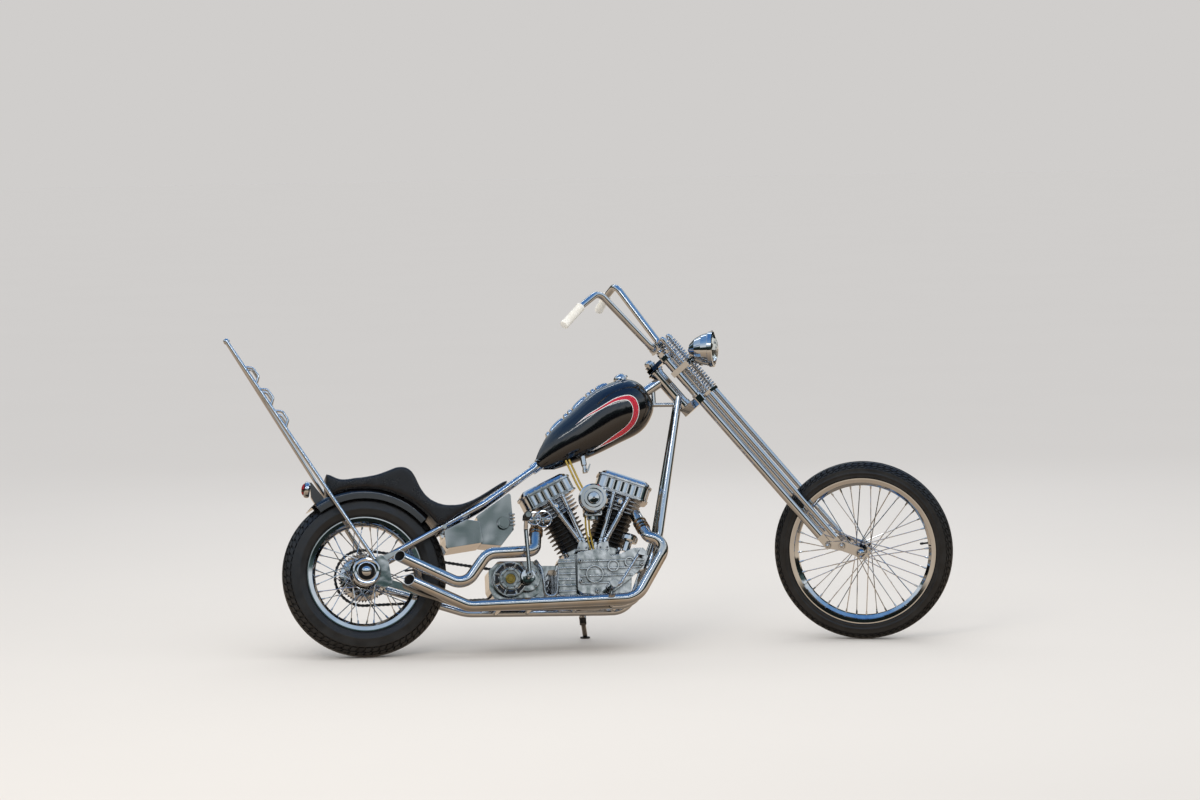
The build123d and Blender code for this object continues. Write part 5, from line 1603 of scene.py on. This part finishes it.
@dataclass
class Driveline:
    """Trim of the gearbox cover, the kick lever and the primary cover."""

    cover: Pair = (541.0, 264.0)        # middle of the gearbox cover's rings
    petals: int = 8                                    # places for them; the kick's has none
    petal_radii: Pair = (60.0, 45.0)
    petal_share: float = 0.43                          # half a petal, of the pitch
    screw_circle: float = 34.5
    kick: Pair = (605.0, 267.0)
    pedal: Pair = (600.0, 482.0)
    pedal_rings: int = 9
    primary: Pair = (556.0, 262.0)      # middle of the primary cover's rear end
    primary_slope: float = 0.045
    # Primary cover's screws, from that middle
    primary_screws: tuple[Point, ...] = (
        (-64, 0), (-46, 46), (-46, -46), (46, 60), (46, -60), (110, 64), (110, -66), (206, 60),
        (206, -66), (312, 58), (312, -72), (366, 20), (366, -36),
    )

    def build(self) -> None:
        """Make every group."""
        self.gearbox_cover()
        self.kick_lever()
        self.primary_cover()

    def gearbox_cover(self) -> None:
        """Brass plug, screws round it, and the raised petals round those, with dark steel plates on
        the pocket floors as painted shade.
        """
        x, z = self.cover
        plug = Shape()
        disc = [(0, 0), (17, 0), (19, 1.5), (19, 5), (17, 7), (12, 7), (10, 5), (0, 5)]
        plug.add(lathe(disc, (x, -115, z), RIGHT, 40))
        plug.build("gearbox_plug", BRIGHT_BRASS)
        screws = Shape()
        r = self.screw_circle
        for k in range(1, self.petals):
            a = 2 * math.pi * (k + 0.5) / self.petals
            screws.socket_screw((x + r * math.cos(a), -119.5, z + r * math.sin(a)), RIGHT, 3.4, 3)
        for spot in ((636, -112, 234), (640, -112, 284)):
            screws.socket_screw(spot, RIGHT, 4.4, 3.6)
        screws.build("gearbox_screws", CHROME, HOLE)
        petals = Shape()
        outer, inner = self.petal_radii
        for k in range(1, self.petals):
            low, high = (2 * math.pi * (k + part) / self.petals
                         for part in (-self.petal_share, self.petal_share))
            arc = [low + (high - low) * j / 8 for j in range(9)]
            rim = [(x + outer * math.cos(a), z + outer * math.sin(a)) for a in arc]
            rim += [(x + inner * math.cos(a), z + inner * math.sin(a)) for a in reversed(arc)]
            # Dark steel plate on each pocket's floor: painted shade in the pocket
            petals.add(prism(rim, -3.8, -2.8, side_place(-112)), 1)
            petals.add(pipe([(px, -112.3, pz) for px, pz in rim], 1.7, 8, around=True))
        petals.build("gearbox_petals", CHROME, STEEL)

    def kick_lever(self) -> None:
        """Nut, washer and collar of the kick lever, and the rubber on its pedal."""
        x, z = self.kick
        collar = [(9.5, 0), (13, 0), (14, 1), (14, 9), (13, 10), (9.5, 10)]
        nut = Shape()
        nut.socket_screw((x, -204, z), RIGHT, 9, 6)
        nut.bolt((x, -148.8, z), RIGHT, 40, 1.5)
        nut.add(lathe(collar, (600, -204, 470), UP, 24))
        nut.build("kick_fittings", CHROME, HOLE)
        outline = [(11.2, 0)]
        for k in range(self.pedal_rings):
            foot = 4 + 8 * k
            outline += [(13.4, foot), (14.6, foot + 1.2), (14.6, foot + 4.4), (13.4, foot + 5.6)]
        outline += [(13.4, 78), (11.2, 80)]
        x, z = self.pedal
        pad = Shape()
        pad.add(lathe(outline, (x, -214, z), RIGHT, 28))
        pad.build("kick_pedal_rubber", PAD)

    def primary_cover(self) -> None:
        """Screws round the primary cover and the bolt in its middle."""
        x, z = self.primary
        cover = Shape()
        for dx, dz in self.primary_screws:
            cover.socket_screw((x + dx, 150, z + dz - dx * self.primary_slope), LEFT, 4.6, 3.4)
        cover.bolt((x, 156, z), LEFT, 20, 5)
        cover.build("primary_screws", CHROME, HOLE)


# ---------------------------------------------------------------- bodywork


@dataclass
class Tank:
    """Painted tank with its scallop, crest strip and filler cap."""

    tail: Triple = (650.0, 0.0, 712.0)
    slope: float = 31.5
    # How far the painted tank lies below the CAD solid, along the tank
    settle: tuple[Point, ...] = (
        (0, 30), (60, 28), (170, 19), (320, 17), (430, 32), (500, 30), (535, 36),
    )
    # Outer and inner edge of the painted band, along the tank and square to it
    outer: tuple[Point, ...] = (
        (216, 28), (276, 35), (318, 33), (362, 32), (404, 29), (441, 17), (459, 4), (467, -16),
        (462, -43), (450, -65), (430, -84), (407, -96), (371, -103), (320, -101), (279, -97),
        (240, -91), (216, -86),
    )
    inner: tuple[Point, ...] = (
        (216, 28), (270, 28), (311, 23), (353, 20), (394, 15), (428, 0), (438, -14), (437, -33),
        (428, -52), (410, -70), (388, -80), (360, -84), (330, -85), (300, -86), (270, -87),
        (240, -87), (216, -86),
    )
    pinstripe: float = 3.2
    lift: float = 0.35           # paint above the tank's skin
    coat: float = 0.2            # and its thickness
    strip_half: float = 27.0
    strip_arch: float = 4.5
    # Raised blocks of the crest strip: where each starts along the tank, and its length
    blocks: tuple[Point, ...] = (
        (112, 17), (136, 66), (210, 17), (232, 17), (256, 66), (330, 17), (352, 17), (376, 46),
    )
    # Section of a block: across the strip, and up from it
    block_section: tuple[Point, ...] = (
        (-17, 4.0), (-13, 9.5), (-5, 11.5), (5, 11.5), (13, 9.5), (17, 4.0),
    )
    # How far a block's rounded ends fall, at even steps along it
    block_fall: tuple[float, ...] = (3.5, 0.8, 0.0, 0.0, 0.0, 0.8, 3.5)
    cap_along: float = 476.0
    clear: float = 300.0         # well off the skin, where a search for it starts
    strips: int = 97             # stations along the painted band

    def place(self) -> Matrix:
        """Tank drawing to standing bike: X along it, Y across, Z square to its top."""
        turn = Matrix.Rotation(-math.radians(self.slope), 4, "Y")
        return STANCE.bike @ (Matrix.Translation(self.tail) @ turn)

    def smooth(self, row: Sequence[Point], count: int) -> list[Vector]:
        """Even points on a smooth curve through a row of points.

        Args:
            row: Points that the curve passes through.
            count: How many points it gets.

        Returns:
            Those points, from the row's first to its last.
        """
        spots = [Vector((*p, 0)) for p in row]
        spots = [spots[0] * 2 - spots[1]] + spots + [spots[-1] * 2 - spots[-2]]
        dense = []
        for p0, p1, p2, p3 in zip(spots, spots[1:], spots[2:], spots[3:]):
            bend, twist = 2 * p0 - 5 * p1 + 4 * p2 - p3, 3 * p1 - p0 - 3 * p2 + p3
            for k in range(12):
                t = k / 12
                dense.append(0.5 * (2 * p1 + (p2 - p0) * t + bend * t ** 2 + twist * t ** 3))
        dense.append(spots[-2])
        return [dense[round(k * (len(dense) - 1) / (count - 1))] for k in range(count)]

    def build(self) -> None:
        """Make the paintwork and the trim."""
        surface = Surface(self.body(), self.place())
        for side, name in ((-1, "right"), (1, "left")):
            self.scallop(surface, side, name)
        self.crest(surface)
        self.filler_cap(surface)

    def body(self) -> bpy.types.Object:
        """Make the painted tank from the CAD solid, settled lower over the engine.

        Returns:
            The painted tank.
        """
        place = self.place()
        back = place.inverted()
        obj = add_object("fuel_tank_painted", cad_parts["fuel_tank"].data.copy())
        depths = self.smooth(self.settle, 200)
        work = bmesh.new()
        work.from_mesh(obj.data)
        bmesh.ops.remove_doubles(work, verts=work.verts, dist=WELD)
        for vertex in work.verts:
            spot = back @ vertex.co
            after = next((k for k, p in enumerate(depths) if p.x >= spot.x), len(depths) - 1)
            low, high = depths[max(after - 1, 0)], depths[after]
            share = (spot.x - low.x) / (high.x - low.x) if high.x > low.x else 0.0
            spot.z -= low.y + (high.y - low.y) * min(max(share, 0.0), 1.0)
            vertex.co = place @ spot
        bmesh.ops.recalc_face_normals(work, faces=work.faces)
        work.to_mesh(obj.data)
        work.free()
        show_edges(obj.data)
        stand_for(obj, "fuel_tank", BLACK)
        return obj

    def scallop(self, surface: Surface, side: int, name: str) -> None:
        """Lay the red band with its white edges on one side of the tank.

        Args:
            surface: The painted tank's skin.
            side: -1 for the right side, 1 for the left.
            name: That side's name.
        """
        rows = []
        edges = (self.smooth(row, self.strips) for row in (self.outer, self.inner))
        for o, i in zip(*edges):
            gap = i - o
            edge = min(self.pinstripe, gap.length * 0.45)
            step = gap.normalized() * edge if gap.length else gap
            rows.append([o, o + step, o + (gap / 2), i - step, i])
        shape = Shape(self.place())
        for band, paint in ((0, 1), (1, 0), (2, 0), (3, 1)):
            strip = []
            for row in rows:
                pair = []
                for spot in row[band:band + 2]:
                    hit = surface.drop((spot.x, side * self.clear, spot.y), (0, -side, 0))
                    pair.append(hit[0] + hit[1] * self.lift if hit else None)
                strip.append(pair)
            points, faces = [], []
            for (a, b), (c, d) in zip(strip, strip[1:]):
                if None in (a, b, c, d):
                    continue
                base = len(points)
                points += [a, b, d, c]
                faces.append((base, base + 1, base + 2, base + 3))
            shape.add((points, faces), paint)
        obj = shape.build(f"tank_scallop_{name}", RED, WHITE, sharp=180)
        thick = obj.modifiers.new("paint", "SOLIDIFY")
        thick.thickness, thick.offset = self.coat * MM, 0.0

    def crest_spot(self, surface: Surface, along: float, across: float) -> Vector:
        """Point of the crest strip, arched over the slot between the tank's halves.

        Args:
            surface: The painted tank's skin.
            along: Distance along the tank.
            across: Distance from the middle.

        Returns:
            The point in the tank drawing.
        """
        out = self.strip_half + 1.5
        ends = [surface.drop((along, side * out, self.clear), (0, 0, -1)) for side in (-1, 1)]
        edge = sum(hit[0].z for hit in ends if hit) / max(1, sum(1 for hit in ends if hit))
        arch = self.strip_arch * (1 - (across / self.strip_half) ** 2)
        return Vector((along, across, edge + arch))

    def crest(self, surface: Surface) -> None:
        """Chrome strip along the top of the tank, with its raised blocks.

        Args:
            surface: The painted tank's skin.
        """
        reach = self.strip_half
        shape = Shape(self.place())
        loops = []
        for along in range(24, 504, 6):
            spots = [self.crest_spot(surface, along, reach * share)
                     for share in (-1, -0.72, -0.36, 0, 0.36, 0.72, 1)]
            loops.append([p + Vector((0, 0, 0.4 if abs(p.y) > reach * 0.9 else 1.6)) for p in spots]
                         + [p - Vector((0, 0, 2.0)) for p in reversed(spots)])
        shape.add(skin(loops))
        for start, length in self.blocks:
            block = []
            for k, fall in enumerate(self.block_fall):
                along = start + length * k / 6
                spots = [self.crest_spot(surface, along, x) for x, _ in self.block_section]
                block.append([p + Vector((0, 0, rise - fall))
                              for p, (_, rise) in zip(spots, self.block_section)]
                             + list(reversed(spots)))
            shape.add(skin(block))
        shape.build("tank_crest_strip", CAST_CHROME, sharp=40)

    def filler_cap(self, surface: Surface) -> None:
        """Domed filler cap on its neck, in place of the CAD cap.

        Args:
            surface: The painted tank's skin.
        """
        outline = [(0, -34), (23.5, -34), (23.5, -4), (31, -4), (31.5, 3), (29, 6), (24.5, 7),
                   (24, 12), (21.5, 17), (16, 21.5), (9, 24), (0, 25)]
        cap = Shape(self.place())
        cap.add(lathe(outline, self.crest_spot(surface, self.cap_along, 0), UP, 44))
        cap.build("tank_filler_cap", CHROME, replaces=["tank_cap"])


@dataclass
class TailLamp:
    """Chromed lamp body with a red lens, and the fender's pointed end below it."""

    centre: Triple = (-193.0, 0.0, 641.0)
    direction: Triple = (-1.0, 0.0, 0.15)
    axle_z: float = 310.0
    # Fender's tip: where it starts round the wheel and its length in degrees, half its width
    tip_start: float = 123.0
    tip_sweep: float = 8.0
    tip_half: float = 66.0
    tip_outer: float = 324.4       # radius of its outer face, which falls as the tip thins
    tip_inner: float = 319.6
    tip_middle: float = 322.0

    def build(self) -> None:
        """Make the lamp and the fender's tip."""
        self.lamp()
        self.tip()

    def lamp(self) -> None:
        """Lamp body and lens, in place of the CAD lamp."""
        shell = [(0, 0.2), (27, 0.2), (30.5, 5), (30.8, 14), (29, 19), (25, 21), (23.4, 20),
                 (23.4, 17), (0, 17)]
        lens = [(0, 16.5), (23, 16.5), (23, 21), (21, 25.5), (16, 29), (9, 31.2), (0, 31.8)]
        body = Shape()
        body.add(lathe(shell, self.centre, self.direction, 48), 0)
        body.add(lathe(lens, self.centre, self.direction, 48), 1)
        body.build("tail_lamp_body", CHROME, RED_LENS, replaces=["tail_lamp"])

    def tip(self) -> None:
        """Pointed end that carries the rear fender's curve on."""
        loops = []
        for k in range(9):
            share = k / 8
            turn = math.radians(self.tip_start + self.tip_sweep * share)
            half = self.tip_half * (1 - share) ** 0.6 + 3
            loop = []
            for radius in (self.tip_outer - 3 * share, self.tip_inner + 2 * share):
                x, z = radius * math.cos(turn), self.axle_z + radius * math.sin(turn)
                row = [Vector((x, half * (j / 4 - 1), z)) for j in range(9)]
                loop += row if radius > self.tip_middle else row[::-1]
            loops.append(loop)
        shape = Shape()
        shape.add(skin(loops))
        shape.build("fender_tip", BLACK)


@dataclass
class Seat:
    """Leather seat, softened from the CAD solid's shape."""

    voxel: float = 6.0
    rounds: int = 26
    fill: float = 0.8

    def build(self) -> None:
        """Remesh the seat's solid, round it, and cover it in leather."""
        obj = add_object("seat_leather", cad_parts["seat"].data.copy())
        remesh = obj.modifiers.new("skin", "REMESH")
        remesh.mode, remesh.voxel_size = "VOXEL", self.voxel * MM
        soften = obj.modifiers.new("soften", "SMOOTH")
        soften.factor, soften.iterations = 0.5, self.rounds
        fine = obj.modifiers.new("fine", "SUBSURF")
        fine.levels = fine.render_levels = 1
        evaluated = obj.evaluated_get(bpy.context.evaluated_depsgraph_get())
        final = bpy.data.meshes.new_from_object(evaluated)
        obj.modifiers.clear()
        final.name = "seat_leather"
        final.shade_smooth()
        obj.data = final
        stand_for(obj, "seat", LEATHER)


# ---------------------------------------------------------------- stage


@dataclass(frozen=True)
class Photograph:
    """Where the camera stood, and how the bike falls in its frame."""

    width: int = 1200
    height: int = 800
    azimuth: float = -8.0
    elevation: float = 6.3
    roll: float = 0.93
    distance: float = 14200.0
    target: Triple = (81.0, -251.5, 500.0)
    pixel: float = 3.783                           # millimetres for a pixel at the target
    centre: Pair = (615.6, 517.6)   # pixel where the target falls
    sensor: float = 36.0
    clip: float = 200.0                            # metres; beyond the floor's far edge

    def build(self) -> None:
        """Make the camera at the photograph's viewing angle."""
        a, e, roll = (math.radians(v) for v in (self.azimuth, self.elevation, self.roll))
        back = Vector((math.sin(a) * math.cos(e), -math.cos(a) * math.cos(e), math.sin(e)))
        right = Vector((math.cos(a), math.sin(a), 0))
        up = back.cross(right)
        x_axis = right * math.cos(roll) - up * math.sin(roll)
        y_axis = right * math.sin(roll) + up * math.cos(roll)
        facing = Matrix((x_axis, y_axis, back)).transposed().to_4x4()
        spot = (Vector(self.target) + back * self.distance) * MM
        data = bpy.data.cameras.new("camera")
        data.sensor_width = self.sensor
        data.lens = self.sensor * self.distance / (self.width * self.pixel)
        data.shift_x = (self.width / 2 - self.centre[0]) / self.width
        data.shift_y = (self.centre[1] - self.height / 2) / self.width
        data.clip_end = self.clip
        camera = add_object("camera", data)
        camera.matrix_world = Matrix.Translation(spot) @ facing
        bpy.context.scene.camera = camera


@dataclass(frozen=True)
class SoftLight:
    """One softbox, in metres and watts; only the narrow ones show in the chrome."""

    name: str
    place: Triple
    aim: Triple
    size: Pair
    power: float
    colour: str = "#FFFFFF"
    mirrored: bool = False

    def build(self) -> None:
        """Make the lamp."""
        data = bpy.data.lights.new(self.name, "AREA")
        data.shape = "RECTANGLE"
        data.size, data.size_y = self.size
        data.energy = self.power
        data.color = linear(self.colour)[:3]
        lamp = add_object(self.name, data)
        lamp.location = self.place
        lamp.rotation_mode = "QUATERNION"
        lamp.rotation_quaternion = (Vector(self.aim) - Vector(self.place)).to_track_quat("-Z", "Y")
        lamp.visible_glossy = self.mirrored


@dataclass(frozen=True)
class Studio:
    """Pale floor and backdrop, soft lamps, and surroundings that only chrome and glass see."""

    floor_rings: tuple[float, ...] = (0.001, 3.0, 12.0, 90.0)     # radii in metres
    floor_colour: str = "#D6D2CC"
    floor_cloud: str = "#D5D1CB"
    light_colour: str = "#F8FAFF"
    light_strength: float = 1.0
    # Mirrored surroundings from straight down to straight up: share of the way, colour
    mirrored: tuple[tuple[float, str], ...] = (
        (0.0, "#82776B"), (0.32, "#B9A48E"), (0.475, "#D9C8B3"), (0.492, "#34332D"),
        (0.53, "#141816"), (0.60, "#222C2A"), (0.655, "#4B5F5E"), (0.68, "#E9EFF3"),
        (0.76, "#C6D8EA"), (0.87, "#82ACDA"), (1.0, "#4A80C4"),
    )
    treeline: float = 0.42     # how far the dark band's edges rise and fall
    treeline_scale: float = 9.0
    lamps: tuple[SoftLight, ...] = (
        SoftLight("top_softbox", (0, -0.4, 4.4), (0, 0, 0.5), (5.0, 2.4), 30),
        SoftLight("key_softbox", (-3.4, -5.6, 4.6), (0, 0, 0.6), (2.4, 2.4), 110, "#FFF6EA"),
        SoftLight("fill_softbox", (5.0, -4.0, 2.6), (0, 0, 0.6), (3.0, 2.4), 20, "#F1F6FF"),
        SoftLight("back_softbox", (1.0, 5.5, 3.4), (0, 0, 0.6), (4.0, 2.0), 24, "#F1F6FF"),
        SoftLight("strip_front", (-0.6, -2.9, 3.6), (0, 0, 0.6), (4.6, 0.16), 16, "#FFFDF8", True),
        SoftLight("strip_back", (0.4, 2.4, 3.8), (0, 0, 0.6), (4.6, 0.16), 12, "#FFFDF8", True),
    )

    def build(self) -> None:
        """Make the floor, the lamps and the world."""
        bpy.context.scene.view_settings.view_transform = "Standard"
        self.floor()
        self.world()
        for lamp in self.lamps:
            lamp.build()

    def floor(self) -> None:
        """Make the round floor, which ends in the backdrop's own tone."""
        paint = Finish(
            "studio_floor_paint", "stage", self.floor_colour, self.floor_cloud, 0.9, haze=0.04,
            cloud_mm=1500, grain=Grain.MOULDED, grain_mm=4, grain_depth_mm=0.1,
            settings=(("Specular IOR Level", 0.0),),
        )
        loops = [[Vector((r * math.cos(a), r * math.sin(a), 0)) for a in turns(96)]
                 for r in self.floor_rings]
        points, faces = skin(loops, caps=False)
        mesh = bpy.data.meshes.new("studio_floor")
        mesh.from_pydata(points, [], faces)
        mesh.materials.append(paint.material())
        obj = add_object("studio_floor", mesh)
        obj.visible_glossy = False

    def world(self) -> None:
        """Even pale light, a plain backdrop, and banded surroundings for mirrored and bent rays."""
        world = bpy.data.worlds.new("studio_world")
        bpy.context.scene.world = world
        world.use_nodes = True
        tree = world.node_tree
        plain = tree.nodes["Background"]
        plain.inputs["Color"].default_value = linear(self.light_colour)
        plain.inputs["Strength"].default_value = self.light_strength
        lit = [a * b for a, b in zip(linear(self.floor_colour), linear(self.light_colour))]
        backdrop = add_node(tree, "ShaderNodeBackground", {
            "Color": lit, "Strength": self.light_strength,
        })
        sky = add_node(tree, "ShaderNodeBackground", {"Color": self.bands(tree), "Strength": 1.0})
        path = add_node(tree, "ShaderNodeLightPath").outputs
        either = add_node(tree, "ShaderNodeMath", {
            0: path["Is Glossy Ray"], 1: path["Is Transmission Ray"],
        }, operation="MAXIMUM")
        seen = add_node(tree, "ShaderNodeMixShader", {
            0: path["Is Camera Ray"], 1: plain.outputs["Background"],
            2: backdrop.outputs["Background"],
        })
        mix = add_node(tree, "ShaderNodeMixShader", {
            0: either.outputs["Value"], 1: seen.outputs["Shader"], 2: sky.outputs["Background"],
        })
        tree.links.new(mix.outputs["Shader"], tree.nodes["World Output"].inputs["Surface"])

    def bands(self, tree: bpy.types.NodeTree) -> bpy.types.NodeSocket:
        """Colour of the mirrored surroundings, with an uneven treeline.

        Args:
            tree: The world's node tree.

        Returns:
            Output with the colour.
        """
        place = add_node(tree, "ShaderNodeTexCoord").outputs["Generated"]
        up = add_node(tree, "ShaderNodeSeparateXYZ", {0: place}).outputs["Z"]
        trees = add_node(tree, "ShaderNodeTexNoise", {
            "Vector": place, "Scale": self.treeline_scale, "Detail": 2.0, "Roughness": 0.5,
        })
        swing = add_node(tree, "ShaderNodeMapRange", {
            "Value": trees.outputs["Fac"], "To Min": -self.treeline / 2,
            "To Max": self.treeline / 2,
        })
        # The swing grows with height, so that the ground's edge stays level
        grown = add_node(tree, "ShaderNodeMapRange", {
            "Value": up, "From Min": 0.0, "From Max": 0.3,
        })
        shift = add_node(tree, "ShaderNodeMath", {
            0: swing.outputs["Result"], 1: grown.outputs["Result"],
        }, operation="MULTIPLY")
        level = add_node(tree, "ShaderNodeMath", {
            0: up, 1: shift.outputs["Value"],
        }, operation="ADD")
        height = add_node(tree, "ShaderNodeMapRange", {
            "Value": level.outputs["Value"], "From Min": -1.0, "From Max": 1.0,
        })
        ramp = add_node(tree, "ShaderNodeValToRGB", {"Fac": height.outputs["Result"]})
        stops = ramp.color_ramp.elements
        for share, colour in self.mirrored[1:-1]:
            stops.new(share).color = linear(colour)
        for stop, (_, colour) in ((stops[0], self.mirrored[0]), (stops[-1], self.mirrored[-1])):
            stop.color = linear(colour)
        return ramp.outputs["Color"]


# ---------------------------------------------------------------- assembly


def dress_nodes() -> None:
    """Give every CAD node its finish."""
    for swatch, names in NODE_FINISH.items():
        for name in names:
            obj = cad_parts[name]
            obj.data.materials.clear()
            obj.data.materials.append(swatch.material())
            log.info("%s is %s", name, swatch.name)


def main() -> None:
    """Build the stage, dress the frame and add every piece."""
    logging.basicConfig(level=logging.INFO, format="%(name)s: %(message)s")
    Photograph().build()
    Studio().build()
    dress_nodes()
    makers: tuple[Callable[[], None], ...] = (
        Wheels().build, Chain().build, Fork().build, Headlamp().build, Engine().build,
        Plumbing().build, Driveline().build, Tank().build, TailLamp().build, Seat().build,
    )
    for make in makers:
        make()


if __name__ == "__main__":
    main()
